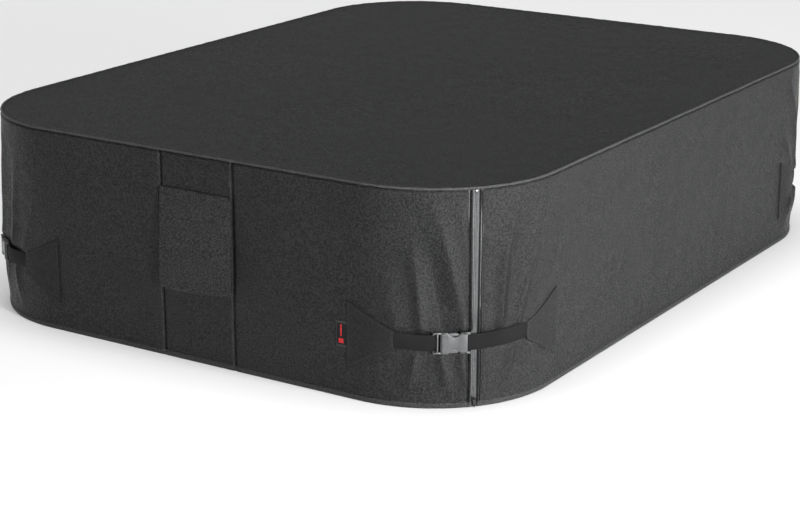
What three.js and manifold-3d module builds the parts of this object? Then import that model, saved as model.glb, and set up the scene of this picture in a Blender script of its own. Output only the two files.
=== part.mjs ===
// Fabric cap for a rectangular portable spa: a flat top and a sewn skirt that drop over the tub's lid,
// a corner zip, a hooded vent in each end, and a webbing strap with a side-release buckle at each corner.
// Millimetres, +Z up. The origin is the middle of the footprint, on the plane that the hem stands on.
// The ends face -Y (front) and +Y (back), and the long sides face -X (left) and +X (right).
import * as THREE from "three";
import { mergeVertices } from "three/addons/utils/BufferGeometryUtils.js";
import Module from "manifold-3d";

const wasm = await Module();
wasm.setup();

// ---- Driving dimensions ----

const WIDTH = 1650; // across the skirt's outer face, left to right
const LENGTH = 2160; // across the skirt's outer face, front to back
const HEIGHT = 547;
const CORNER_RADIUS = 335;
const ARC_STEPS = 24; // facets in each quarter-round corner
const GAP = 0.4; // between touching pieces
const JOIN = 0.5; // how far the solids of one piece run into each other
const PAST = 5; // how far a cutting solid runs past the face that it cuts

const FABRIC = 2.5; // lined and folded cloth of the top and skirt
const PIPING_RADIUS = 3.5;
const HEM_HEIGHT = 14;
const HEM_PROUD = 0.8; // how far the turned hem stands outside the skirt

const VENT_WIDTH = 224; // panel between its two upright seams
const VENT_SHIFT = 6; // the panel is sewn this far off the middle of the end
const SEAM_GAP = 1;
const WINDOW_WIDTH = 164;
const WINDOW_HEIGHT = 190;
const WINDOW_DROP = 34; // its upper edge, below the flap's sewn edge
const MESH_THICKNESS = 1.2;
const MESH_MARGIN = 12; // mesh lapped behind the window's edge
const FLAP_WIDTH = 222;
const FLAP_DROP = 97; // its sewn edge, below the top of the cap
const FLAP_LENGTH = 262;
const FLAP_THICKNESS = 2;
const FLAP_LIFT = 11; // how far the flap's lower edge hangs clear of the skirt

const ZIP_SHIFT = 24.4; // along the skirt, from the middle of the front right corner to the long side
const ZIP_OPENING = 16; // between the two folded edges
const TAPE_WIDTH = 17;
const TAPE_THICKNESS = 0.8;
const COIL_WIDTH = 2.6; // each half of the zip's coil
const COIL_THICKNESS = 2.4;
const COIL_SPLIT = 1.2; // between the two halves
const ZIP_BOTTOM = 0.8;
const STOP_HEIGHT = 6;
const SLIDER_WIDTH = 11;
const SLIDER_LENGTH = 14;
const SLIDER_BOTTOM = 14;
const SLIDER_PLATE = 1.5;
const SLIDER_WEB = 0.5;
const ARCH_SHIFT = 2; // above the slider's middle
const ARCH_LENGTH = 6.4;
const ARCH_HEIGHT = 4.6;
const ARCH_WALL = 1.2;
const ARCH_WIDTH = 2;
const PULL_LENGTH = 23;
const PULL_WIDTH = 7;
const PULL_THICKNESS = 1.6;
const PULL_BAR = 0.9; // from the pivot to the pull's upper edge
const PULL_EYE = 4.4; // sides of its square hole

const CLASP_HEIGHT = 169; // centre line of the straps
const CLASP_SHIFT = 36; // buckle's centre, from the middle of the corner towards the end face
const WEBBING_WIDTH = 40;
const WEBBING_THICKNESS = 1.6;
const PATCH_TIP = 172; // from the middle of the corner, along the skirt
const PATCH_REACH = 298;
const PATCH_TIP_BORDER = 2; // above and below the webbing
const PATCH_TALL_BOTTOM = 76;
const PATCH_TALL_TOP = 252;
const PATCH_THICKNESS = 2;
const TAIL_LENGTH = 60; // webbing sewn under each patch
const LABEL_WIDTH = 30; // showing beyond the patch
const LABEL_TUCK = 14;
const LABEL_BOTTOM = 128;
const LABEL_TOP = 195;
const LABEL_THICKNESS = 0.8;

// Buckle, in its own frame: x along the strap towards the socket's strap bar, y across, z outwards.
const BUCKLE_LIFT = 7.6; // its middle plane above the skirt
const BUCKLE_BORDER = 6.5; // outside the webbing, on each side
const SOCKET_MOUTH = -21;
const SOCKET_END = 40.5;
const SOCKET_THICKNESS = 13;
const SOCKET_WALL = 2.5;
const SOCKET_SIDE = 3;
const CAVITY_END = 28;
const RAIL_END = 47.5;
const RAIL_WIDTH = 5;
const WINDOW_CENTRE = 9.5;
const WINDOW_HALF = 15.5; // half the length of each finger window
const WINDOW_DEPTH = 11;
const BAR_FROM = 35;
const BAR_TO = 39;
const BAR_LOW = -5;
const BAR_HIGH = -1;
const INSERT_END = -42;
const INSERT_THICKNESS = 8;
const INSERT_RAIL = 4;
const SHOULDER = 2.2; // solid bar that stops against the socket's mouth
const END_BAR = 3;
const END_BAR_TOP = -1;
const MIDDLE_BAR_FROM = -33;
const MIDDLE_BAR_TO = -29.5;
const MIDDLE_BAR_BOTTOM = 1.4;
const TONGUE_WIDTH = 8;
const TONGUE_LENGTH = 44;
const TONGUE_THICKNESS = 5;
const PRONG_ARM = 3.4;
const PRONG_INSET = 9.7; // inner face of each prong's arm, in from the buckle's side
const PRONG_TAPER = 1;
const PRONG_THICKNESS = 6.6;
const PRONG_TIP = 26;
const BARB_BACK = -3.4; // shoulder that the window's edge holds
const BARB_INSET = 1.6; // the barb's outer face, in from the buckle's side
const BARB_LENGTH = 10;
const BARB_RAKE = 2;
const BIGHT_FROM = -60;
const BIGHT_TO = -26;
const UNDER_INSERT = 1.2; // from the skirt to the webbing that passes under the insert
const LOOP_CLEARANCE = 0.5; // between the socket's bar and the webbing looped round it

// ---- Sizes worked out from them ----

const FLAT_X = WIDTH / 2 - CORNER_RADIUS;
const FLAT_Y = LENGTH / 2 - CORNER_RADIUS;
const ARC = (CORNER_RADIUS * Math.PI) / 2;
const PERIMETER = 4 * (FLAT_X + FLAT_Y + ARC);
const SKIRT_TOP = HEIGHT - 2 * PIPING_RADIUS - GAP;
const SKIRT_BOTTOM = HEM_HEIGHT + GAP;
const VENT_LEFT = VENT_SHIFT - VENT_WIDTH / 2;
const VENT_RIGHT = VENT_SHIFT + VENT_WIDTH / 2;
const CORNER_MIDDLE = FLAT_X + ARC / 2;
const FLAP_TOP = HEIGHT - FLAP_DROP;
const WINDOW_TOP = FLAP_TOP - WINDOW_DROP;
const WINDOW_BOTTOM = WINDOW_TOP - WINDOW_HEIGHT;
const ZIP_POSITION = CORNER_MIDDLE + ZIP_SHIFT;
const ZIP_LEFT = ZIP_POSITION - ZIP_OPENING / 2;
const ZIP_RIGHT = ZIP_POSITION + ZIP_OPENING / 2;
const TAPE_OUTER = -FABRIC - GAP;
const TAPE_INNER = TAPE_OUTER - TAPE_THICKNESS;
const COIL_OUTER = TAPE_INNER + COIL_THICKNESS;
const COIL_TOP = SKIRT_TOP - STOP_HEIGHT - GAP;
const WEBBING_INNER = 0.5; // where it lies on the skirt
const PATCH_INNER = WEBBING_INNER + WEBBING_THICKNESS + GAP;
const PATCH_TIP_HEIGHT = WEBBING_WIDTH + 2 * PATCH_TIP_BORDER;
const BUCKLE_WIDTH = WEBBING_WIDTH + 2 * BUCKLE_BORDER;
const PRONG_INSIDE = BUCKLE_WIDTH / 2 - PRONG_INSET;
const BARB_OUTSIDE = BUCKLE_WIDTH / 2 - BARB_INSET;

// ---- Materials ----

const cloth = (color, roughness = 0.85) => new THREE.MeshStandardMaterial({ color, roughness });
const plastic = (color, roughness = 0.4) => new THREE.MeshStandardMaterial({ color, roughness });
const MATERIALS = {
  cloth: cloth("#3c3e42"),
  edge: cloth("#46484c", 0.7),
  patch: cloth("#323438"),
  webbing: cloth("#1d1e20"),
  mesh: cloth("#15161a", 0.9),
  tape: cloth("#55575b"),
  coil: plastic("#4a4c50", 0.35),
  buckle: plastic("#77797c", 0.35),
  zipMetal: new THREE.MeshStandardMaterial({ color: "#2a2b2d", roughness: 0.35, metalness: 0.8 }),
  label: cloth("#101012"),
};

const cover = new THREE.Group();

function addMesh(parent, name, geometry, material) {
  const mesh = new THREE.Mesh(geometry, material);
  mesh.name = name;
  parent.add(mesh);
  return mesh;
}

// ---- The skirt's outline ----

// Point on the skirt's plan outline and its outward normal: s runs along it, anticlockwise from the middle
// of the front, and the point is moved out by offset.
function outlineAt(s, offset = 0) {
  const turned = s - PERIMETER * Math.round(s / PERIMETER);
  const along = Math.abs(turned);
  const side = turned < 0 ? -1 : 1;
  const p = outlineOnRight(along, offset);
  return { x: side * p.x, y: p.y, nx: side * p.nx, ny: p.ny };
}

function roundCorner(reach, angle, centreY) {
  const nx = Math.cos(angle);
  const ny = Math.sin(angle);
  return { x: FLAT_X + reach * nx, y: centreY + reach * ny, nx, ny };
}

function outlineOnRight(s, offset) {
  const reach = CORNER_RADIUS + offset;
  if (s <= FLAT_X) return { x: s, y: -LENGTH / 2 - offset, nx: 0, ny: -1 };
  const frontArc = s - FLAT_X;
  if (frontArc <= ARC) return roundCorner(reach, frontArc / CORNER_RADIUS - Math.PI / 2, -FLAT_Y);
  const sideFlat = frontArc - ARC;
  if (sideFlat <= 2 * FLAT_Y) return { x: WIDTH / 2 + offset, y: sideFlat - FLAT_Y, nx: 1, ny: 0 };
  const backArc = sideFlat - 2 * FLAT_Y;
  if (backArc <= ARC) return roundCorner(reach, backArc / CORNER_RADIUS, FLAT_Y);
  return { x: FLAT_X - (backArc - ARC), y: LENGTH / 2 + offset, nx: 0, ny: 1 };
}

// Where the outline bends, from each corner's start to its end, repeated one turn to either side.
function bends() {
  const starts = [FLAT_X, FLAT_X + ARC + 2 * FLAT_Y];
  const all = [];
  for (const start of starts) {
    for (let i = 0; i <= ARC_STEPS; i++) {
      const s = start + (ARC * i) / ARC_STEPS;
      all.push(s, -s, PERIMETER - s, PERIMETER + s);
    }
  }
  return all;
}

// Steps along the outline from one place to another: both ends, every bend between, and extra even steps.
function stepsBetween(from, to, extra = 1) {
  const CLOSE = 1e-3;
  const wanted = [from, to, ...bends().filter((s) => s > from && s < to)];
  for (let i = 1; i < extra; i++) wanted.push(from + ((to - from) * i) / extra);
  wanted.sort((a, b) => a - b);
  return wanted.filter((s, i) => i === 0 || s - wanted[i - 1] > CLOSE);
}

// A slab that follows the skirt: its lower and upper edges and its inner and outer faces are functions of
// the place along the outline, and its faces of the share of its height too.
function wrapped({ from, to, low, high, inner, outer, extra = 1, rows = 1 }) {
  const steps = stepsBetween(from, to, extra);
  const geometry = new THREE.BoxGeometry(1, 1, 1, steps.length - 1, rows, 1);
  const position = geometry.getAttribute("position");
  const at = (value, ...args) => (typeof value === "function" ? value(...args) : value);
  for (let i = 0; i < position.count; i++) {
    const s = steps[Math.round((position.getX(i) + 0.5) * (steps.length - 1))];
    const share = position.getY(i) + 0.5;
    const z = at(low, s) + (at(high, s) - at(low, s)) * share;
    const offset = position.getZ(i) > 0 ? at(outer, s, share) : at(inner, s, share);
    const p = outlineAt(s, offset);
    position.setXYZ(i, p.x, p.y, z);
  }
  return geometry;
}

// ---- Booleans ----

function solidOf(geometry, matrix) {
  const bare = geometry.clone();
  bare.deleteAttribute("normal");
  bare.deleteAttribute("uv");
  if (matrix) bare.applyMatrix4(matrix);
  const merged = mergeVertices(bare, 1e-4);
  const vertProperties = new Float32Array(merged.getAttribute("position").array);
  const triVerts = new Uint32Array(merged.index.array);
  return new wasm.Manifold(new wasm.Mesh({ numProp: 3, vertProperties, triVerts }));
}

function geometryOf(solid) {
  const mesh = solid.getMesh();
  const geometry = new THREE.BufferGeometry();
  geometry.setAttribute("position", new THREE.BufferAttribute(mesh.vertProperties, 3));
  geometry.setIndex(new THREE.BufferAttribute(mesh.triVerts, 1));
  geometry.computeVertexNormals();
  return geometry;
}

function box(x0, x1, y0, y1, z0, z1) {
  const geometry = new THREE.BoxGeometry(x1 - x0, y1 - y0, z1 - z0);
  return geometry.translate((x0 + x1) / 2, (y0 + y1) / 2, (z0 + z1) / 2);
}

function slab(shape, low, high, curveSegments = 12) {
  const options = { depth: high - low, bevelEnabled: false, curveSegments };
  const geometry = new THREE.ExtrudeGeometry(shape, options);
  return geometry.translate(0, 0, low);
}

// ---- Top, skirt and hem ----

function roundedRectangle(width, length, radius) {
  const x = width / 2 - radius;
  const y = length / 2 - radius;
  const shape = new THREE.Shape();
  shape.absarc(x, -y, radius, -Math.PI / 2, 0);
  shape.absarc(x, y, radius, 0, Math.PI / 2);
  shape.absarc(-x, y, radius, Math.PI / 2, Math.PI);
  shape.absarc(-x, -y, radius, Math.PI, (3 * Math.PI) / 2);
  return shape;
}

function addTop() {
  const inset = 2 * PIPING_RADIUS + GAP;
  const outline = roundedRectangle(WIDTH - 2 * inset, LENGTH - 2 * inset, CORNER_RADIUS - inset);
  const middle = HEIGHT - PIPING_RADIUS;
  const panel = slab(outline, middle - FABRIC / 2, middle + FABRIC / 2, ARC_STEPS);
  addMesh(cover, "top_panel", panel, MATERIALS.cloth);
  addMesh(cover, "rim_piping", pipingRing(), MATERIALS.edge);
}

// A round cord that follows the whole outline, made by bending a torus.
function pipingRing() {
  const sides = 8;
  const steps = stepsBetween(0, PERIMETER);
  const turns = steps.length - 1;
  const geometry = new THREE.TorusGeometry(2, 1, sides, turns);
  const position = geometry.getAttribute("position");
  for (let i = 0; i < position.count; i++) {
    const around = Math.floor(i / (turns + 1));
    const s = steps[i % (turns + 1)];
    const angle = (2 * Math.PI * around) / sides;
    const p = outlineAt(s, -PIPING_RADIUS + PIPING_RADIUS * Math.cos(angle));
    position.setXYZ(i, p.x, p.y, HEIGHT - PIPING_RADIUS + PIPING_RADIUS * Math.sin(angle));
  }
  return geometry;
}

function addSkirt() {
  const backLeft = PERIMETER / 2 + VENT_RIGHT;
  const backRight = PERIMETER / 2 + VENT_LEFT;
  const panels = {
    skirt_front_right: [VENT_RIGHT + SEAM_GAP, ZIP_LEFT],
    skirt_right: [ZIP_RIGHT, backRight - SEAM_GAP],
    skirt_left: [backLeft + SEAM_GAP, PERIMETER + VENT_LEFT - SEAM_GAP],
  };
  for (const [name, [from, to]] of Object.entries(panels)) {
    const panel = wrapped({ from, to, low: SKIRT_BOTTOM, high: SKIRT_TOP, inner: -FABRIC, outer: 0 });
    addMesh(cover, name, panel, MATERIALS.cloth);
  }
  const hem = wrapped({
    from: ZIP_RIGHT,
    to: PERIMETER + ZIP_LEFT,
    low: 0,
    high: HEM_HEIGHT,
    inner: -FABRIC,
    outer: HEM_PROUD,
  });
  addMesh(cover, "hem_band", hem, MATERIALS.edge);
}

// ---- Vents: a panel with a mesh window, under a flap that hangs from its sewn top edge ----

function rectangle(width, low, high) {
  const shape = new THREE.Shape();
  shape.moveTo(-width / 2, low);
  shape.lineTo(width / 2, low);
  shape.lineTo(width / 2, high);
  shape.lineTo(-width / 2, high);
  shape.closePath();
  return shape;
}

function flapGeometry() {
  const rows = 8;
  const geometry = new THREE.BoxGeometry(FLAP_WIDTH, FLAP_LENGTH, FLAP_THICKNESS, 4, rows, 1);
  geometry.translate(0, FLAP_TOP - FLAP_LENGTH / 2, FLAP_THICKNESS / 2);
  const position = geometry.getAttribute("position");
  for (let i = 0; i < position.count; i++) {
    const down = (FLAP_TOP - position.getY(i)) / FLAP_LENGTH;
    const lift = GAP + FLAP_LIFT * down * (2 - down);
    position.setZ(i, position.getZ(i) + lift);
  }
  return geometry;
}

// Built flat with x across, y up and z outwards, then stood against one end of the cover.
function addVent(end, facing) {
  const vent = new THREE.Group();
  vent.rotation.x = Math.PI / 2;
  const turn = new THREE.Group();
  turn.rotation.z = facing;
  const outline = rectangle(VENT_WIDTH, SKIRT_BOTTOM, SKIRT_TOP);
  outline.holes.push(rectangle(WINDOW_WIDTH, WINDOW_BOTTOM, WINDOW_TOP));
  const meshOutline = rectangle(
    WINDOW_WIDTH + 2 * MESH_MARGIN,
    WINDOW_BOTTOM - MESH_MARGIN,
    WINDOW_TOP + MESH_MARGIN,
  );
  addMesh(vent, `${end}_vent_panel`, slab(outline, -FABRIC, 0), MATERIALS.cloth);
  const meshOuter = -FABRIC - GAP;
  const meshSlab = slab(meshOutline, meshOuter - MESH_THICKNESS, meshOuter);
  addMesh(vent, `${end}_vent_mesh`, meshSlab, MATERIALS.mesh);
  addMesh(vent, `${end}_vent_flap`, flapGeometry(), MATERIALS.patch);
  vent.position.set(VENT_SHIFT, -LENGTH / 2, 0);
  turn.add(vent);
  cover.add(turn);
}

// ---- Zip ----

function addZip() {
  const coilEdge = COIL_SPLIT / 2;
  const tapeEdge = coilEdge + COIL_WIDTH + GAP;
  const tape = { low: ZIP_BOTTOM, high: SKIRT_TOP, inner: TAPE_INNER, outer: TAPE_OUTER };
  const coil = { low: ZIP_BOTTOM, high: COIL_TOP, inner: TAPE_INNER, outer: COIL_OUTER };
  for (const [side, sign] of [["left", -1], ["right", 1]]) {
    const span = (near, far) => {
      const ends = [ZIP_POSITION + sign * near, ZIP_POSITION + sign * far];
      return { from: Math.min(...ends), to: Math.max(...ends) };
    };
    const tapeMesh = wrapped({ ...span(tapeEdge, tapeEdge + TAPE_WIDTH), ...tape });
    const coilMesh = wrapped({ ...span(coilEdge, coilEdge + COIL_WIDTH), ...coil });
    addMesh(cover, `zip_tape_${side}`, tapeMesh, MATERIALS.tape);
    addMesh(cover, `zip_coil_${side}`, coilMesh, MATERIALS.coil);
  }
  const half = coilEdge + COIL_WIDTH;
  const stop = {
    from: ZIP_POSITION - half,
    to: ZIP_POSITION + half,
    low: COIL_TOP + GAP,
    high: SKIRT_TOP,
    inner: TAPE_INNER,
    outer: COIL_OUTER + GAP,
  };
  addMesh(cover, "zip_top_stop", wrapped(stop), MATERIALS.zipMetal);
  addZipSlider();
}

// The group at a place on the outline: x along the skirt, y up, z outwards.
function frameAt(s, height, reversed = false) {
  const p = outlineAt(s);
  const outwards = new THREE.Vector3(p.nx, p.ny, 0);
  const along = new THREE.Vector3(-p.ny, p.nx, 0);
  const up = new THREE.Vector3(0, 0, 1);
  if (reversed) {
    along.negate();
    up.negate();
  }
  const frame = new THREE.Group();
  frame.quaternion.setFromRotationMatrix(new THREE.Matrix4().makeBasis(along, up, outwards));
  frame.position.set(p.x, p.y, height);
  frame.updateMatrix();
  return frame;
}

function addZipSlider() {
  const frame = frameAt(ZIP_POSITION, 0);
  const plateOuter = COIL_OUTER + GAP + SLIDER_PLATE;
  const pivot = SLIDER_BOTTOM + SLIDER_LENGTH / 2 + ARCH_SHIFT;
  addMesh(frame, "zip_slider", sliderGeometry(plateOuter, pivot), MATERIALS.zipMetal);
  addMesh(frame, "zip_pull", pullGeometry(plateOuter, pivot), MATERIALS.zipMetal);
  cover.add(frame);
}

// The slider holds both coils between its plates, with its web running in the split between them.
function sliderGeometry(plateOuter, pivot) {
  const half = SLIDER_WIDTH / 2;
  const low = SLIDER_BOTTOM;
  const high = SLIDER_BOTTOM + SLIDER_LENGTH;
  const plateInner = plateOuter - SLIDER_PLATE;
  const backOuter = TAPE_INNER - GAP;
  const outerPlate = solidOf(box(-half, half, low, high, plateInner, plateOuter));
  const backPlate = solidOf(box(-half, half, low, high, backOuter - SLIDER_PLATE, backOuter));
  const halfWeb = SLIDER_WEB / 2;
  const web = solidOf(box(-halfWeb, halfWeb, low, high, backOuter - JOIN, plateInner + JOIN));
  return geometryOf(outerPlate.add(backPlate).add(web).add(sliderArch(plateOuter, pivot)));
}

// The small bridge that the pull hangs from.
function sliderArch(plateOuter, pivot) {
  const half = ARCH_WIDTH / 2;
  const top = plateOuter + ARCH_HEIGHT;
  const end = ARCH_LENGTH / 2;
  const inside = end - ARCH_WALL;
  const arch = solidOf(box(-half, half, pivot - end, pivot + end, plateOuter - JOIN, top));
  const under = box(-2 * half, 2 * half, pivot - inside, pivot + inside, plateOuter, top - ARCH_WALL);
  return arch.subtract(solidOf(under));
}

function pullGeometry(plateOuter, pivot) {
  const half = PULL_WIDTH / 2;
  const top = pivot + PULL_BAR;
  const roundCentre = top - PULL_LENGTH + half;
  const outline = new THREE.Shape();
  outline.moveTo(-half, top);
  outline.lineTo(-half, roundCentre);
  outline.absarc(0, roundCentre, half, Math.PI, 2 * Math.PI);
  outline.lineTo(half, top);
  outline.closePath();
  outline.holes.push(rectangle(PULL_EYE, pivot - PULL_BAR - PULL_EYE, pivot - PULL_BAR));
  const middle = plateOuter + (ARCH_HEIGHT - ARCH_WALL) / 2;
  return slab(outline, middle - PULL_THICKNESS / 2, middle + PULL_THICKNESS / 2, 8);
}

// ---- Corner straps ----

const ease = (t) => t * t * (3 - 2 * t);
const mix = (a, b, t) => a + (b - a) * t;
const clamp01 = (t) => Math.min(1, Math.max(0, t));

// Height of a patch's edge, or its face, between its narrow tip and its tall end.
function patchEdge(distance, tipValue, tallValue) {
  return mix(tipValue, tallValue, clamp01((distance - PATCH_TIP) / (PATCH_REACH - PATCH_TIP)));
}

function addPatch(name, corner, sign) {
  const ends = [corner + sign * PATCH_TIP, corner + sign * PATCH_REACH];
  const patch = wrapped({
    from: Math.min(...ends),
    to: Math.max(...ends),
    low: (s) => patchEdge(Math.abs(s - corner), CLASP_HEIGHT - PATCH_TIP_HEIGHT / 2, PATCH_TALL_BOTTOM),
    high: (s) => patchEdge(Math.abs(s - corner), CLASP_HEIGHT + PATCH_TIP_HEIGHT / 2, PATCH_TALL_TOP),
    inner: PATCH_INNER,
    outer: PATCH_INNER + PATCH_THICKNESS,
  });
  addMesh(cover, name, patch, MATERIALS.patch);
}

// Webbing from near the buckle to its end sewn under a patch. Distances are from the corner's middle.
function webbing(corner, sign, near, nearLift) {
  const far = PATCH_TIP + TAIL_LENGTH;
  const ends = [corner + sign * near, corner + sign * far];
  const inner = (s) => {
    const distance = Math.abs(s - corner);
    return mix(nearLift, WEBBING_INNER, ease(clamp01((distance - near) / (PATCH_TIP - near))));
  };
  return wrapped({
    from: Math.min(...ends),
    to: Math.max(...ends),
    low: CLASP_HEIGHT - WEBBING_WIDTH / 2,
    high: CLASP_HEIGHT + WEBBING_WIDTH / 2,
    inner,
    outer: (s) => inner(s) + WEBBING_THICKNESS,
  });
}

function socketGeometry() {
  const half = BUCKLE_WIDTH / 2;
  const windowRadius = (WINDOW_HALF ** 2 + WINDOW_DEPTH ** 2) / (2 * WINDOW_DEPTH);
  const windowY = half - WINDOW_DEPTH + windowRadius;
  const spread = Math.asin(WINDOW_HALF / windowRadius);
  const outline = new THREE.Shape();
  outline.moveTo(SOCKET_MOUTH, -half);
  outline.absarc(WINDOW_CENTRE, -windowY, windowRadius, Math.PI / 2 + spread, Math.PI / 2 - spread, true);
  outline.lineTo(RAIL_END, -half);
  outline.lineTo(RAIL_END, half);
  outline.absarc(WINDOW_CENTRE, windowY, windowRadius, -Math.PI / 2 + spread, -Math.PI / 2 - spread, true);
  outline.lineTo(SOCKET_MOUTH, half);
  outline.closePath();
  const top = SOCKET_THICKNESS / 2;
  const inside = half - SOCKET_SIDE;
  const between = half - RAIL_WIDTH;
  const roof = top - SOCKET_WALL;
  const cavity = box(SOCKET_MOUTH - PAST, CAVITY_END, -inside, inside, -roof, roof);
  const strapSpace = box(CAVITY_END + SOCKET_WALL, RAIL_END + PAST, -between, between, -top - PAST, roof);
  const beyondRoof = box(SOCKET_END, RAIL_END + PAST, -between, between, -top - PAST, top + PAST);
  const bar = box(BAR_FROM, BAR_TO, -between - JOIN, between + JOIN, BAR_LOW, BAR_HIGH);
  const socket = solidOf(slab(outline, -top, top, 10))
    .subtract(solidOf(cavity))
    .subtract(solidOf(strapSpace))
    .subtract(solidOf(beyondRoof))
    .add(solidOf(bar));
  return geometryOf(socket);
}

function insertGeometry() {
  const half = BUCKLE_WIDTH / 2;
  const high = INSERT_THICKNESS / 2;
  const shoulderTo = SOCKET_MOUTH - GAP;
  const shoulderFrom = shoulderTo - SHOULDER;
  const between = half - INSERT_RAIL;
  const plate = box(INSERT_END, shoulderTo, -half, half, -high, high);
  const slots = box(INSERT_END + END_BAR, shoulderFrom, -between, between, -high - PAST, high + PAST);
  const overEndBar = box(INSERT_END - PAST, shoulderFrom, -between, between, END_BAR_TOP, high + PAST);
  const middleBar = box(
    MIDDLE_BAR_FROM,
    MIDDLE_BAR_TO,
    -between - JOIN,
    between + JOIN,
    MIDDLE_BAR_BOTTOM,
    high,
  );
  const tongue = box(
    shoulderTo - JOIN,
    shoulderTo + TONGUE_LENGTH,
    -TONGUE_WIDTH / 2,
    TONGUE_WIDTH / 2,
    -TONGUE_THICKNESS / 2,
    TONGUE_THICKNESS / 2,
  );
  const insert = solidOf(plate)
    .subtract(solidOf(slots))
    .subtract(solidOf(overEndBar))
    .add(solidOf(middleBar))
    .add(solidOf(tongue));
  return geometryOf(insert);
}

// One springy arm with a barb that stands in the socket's finger window.
function prongGeometry(side) {
  const root = SOCKET_MOUTH + GAP;
  const outer = PRONG_INSIDE + PRONG_ARM;
  const shape = new THREE.Shape();
  const crown = BARB_BACK + BARB_LENGTH;
  shape.moveTo(root, side * PRONG_INSIDE);
  shape.lineTo(PRONG_TIP, side * (PRONG_INSIDE + PRONG_TAPER));
  shape.lineTo(PRONG_TIP, side * (outer - PRONG_TAPER));
  shape.lineTo(crown, side * BARB_OUTSIDE);
  shape.lineTo(BARB_BACK, side * BARB_OUTSIDE);
  shape.lineTo(BARB_BACK - BARB_RAKE, side * outer);
  shape.lineTo(root, side * outer);
  shape.closePath();
  return slab(shape, -PRONG_THICKNESS / 2, PRONG_THICKNESS / 2);
}

// The end of the fixed strap, looped round the socket's bar.
function strapLoop() {
  const x = (BAR_FROM + BAR_TO) / 2;
  const z = (BAR_LOW + BAR_HIGH) / 2;
  const insideX = (BAR_TO - BAR_FROM) / 2 + LOOP_CLEARANCE;
  const insideZ = (BAR_HIGH - BAR_LOW) / 2 + LOOP_CLEARANCE;
  const outsideX = insideX + WEBBING_THICKNESS;
  const outsideZ = insideZ + WEBBING_THICKNESS;
  const across = WEBBING_WIDTH / 2;
  const outer = box(x - outsideX, x + outsideX, -across, across, z - outsideZ, z + outsideZ);
  const inner = box(x - insideX, x + insideX, -across - PAST, across + PAST, z - insideZ, z + insideZ);
  return geometryOf(solidOf(outer).subtract(solidOf(inner)));
}

// The strap that is sewn under the side patch and ends in the loop. It starts in the loop's outer wall.
function fixedStrap(corner, sign, buckleMatrix) {
  const x = BAR_TO + LOOP_CLEARANCE + WEBBING_THICKNESS / 2;
  const height = CORNER_RADIUS + BUCKLE_LIFT + BAR_HIGH + LOOP_CLEARANCE;
  const near = CORNER_RADIUS * Math.atan2(x, height) - CLASP_SHIFT;
  const lift = Math.hypot(x, height) - CORNER_RADIUS;
  return geometryOf(solidOf(webbing(corner, sign, near, lift)).add(solidOf(strapLoop(), buckleMatrix)));
}

function bightGeometry() {
  const across = WEBBING_WIDTH / 2;
  const low = END_BAR_TOP + GAP;
  return box(BIGHT_FROM, BIGHT_TO, -across, across, low, low + WEBBING_THICKNESS);
}

// sign is the way along the outline from the corner's middle to the long side.
function addCorner(name, corner, sign) {
  addPatch(`${name}_patch_end`, corner, -sign);
  addPatch(`${name}_patch_side`, corner, sign);

  const frame = frameAt(corner - sign * CLASP_SHIFT, CLASP_HEIGHT, sign < 0);
  frame.translateZ(BUCKLE_LIFT);
  frame.updateMatrix();
  addMesh(frame, `${name}_buckle_socket`, socketGeometry(), MATERIALS.buckle);
  addMesh(frame, `${name}_buckle_insert`, insertGeometry(), MATERIALS.buckle);
  const [onePlace, otherPlace] = sign > 0 ? ["upper", "lower"] : ["lower", "upper"];
  addMesh(frame, `${name}_prong_${onePlace}`, prongGeometry(1), MATERIALS.buckle);
  addMesh(frame, `${name}_prong_${otherPlace}`, prongGeometry(-1), MATERIALS.buckle);
  addMesh(frame, `${name}_strap_bight`, bightGeometry(), MATERIALS.webbing);
  cover.add(frame);

  const adjusting = webbing(corner, -sign, CLASP_SHIFT - BIGHT_TO - END_BAR, UNDER_INSERT);
  addMesh(cover, `${name}_strap_adjusting`, adjusting, MATERIALS.webbing);
  addMesh(cover, `${name}_strap_fixed`, fixedStrap(corner, sign, frame.matrix), MATERIALS.webbing);
}

function addCorners() {
  const backMiddle = PERIMETER / 2 - CORNER_MIDDLE;
  addCorner("front_right", CORNER_MIDDLE, 1);
  addCorner("front_left", -CORNER_MIDDLE, -1);
  addCorner("back_right", backMiddle, -1);
  addCorner("back_left", -backMiddle, 1);
}

function addLabel() {
  const patchEdgeAt = CORNER_MIDDLE - PATCH_REACH;
  const label = wrapped({
    from: patchEdgeAt - LABEL_WIDTH,
    to: patchEdgeAt + LABEL_TUCK,
    low: LABEL_BOTTOM,
    high: LABEL_TOP,
    inner: WEBBING_INNER,
    outer: WEBBING_INNER + LABEL_THICKNESS,
  });
  addMesh(cover, "side_label", label, MATERIALS.label);
}

addTop();
addSkirt();
addVent("front", 0);
addVent("back", Math.PI);
addZip();
addCorners();
addLabel();

export default cover;
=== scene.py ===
"""Looks for the spa cover: sewn cloth, webbing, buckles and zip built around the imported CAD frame."""
import math

import bmesh
import bpy
import numpy as np
from mathutils import Matrix, Vector


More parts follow.
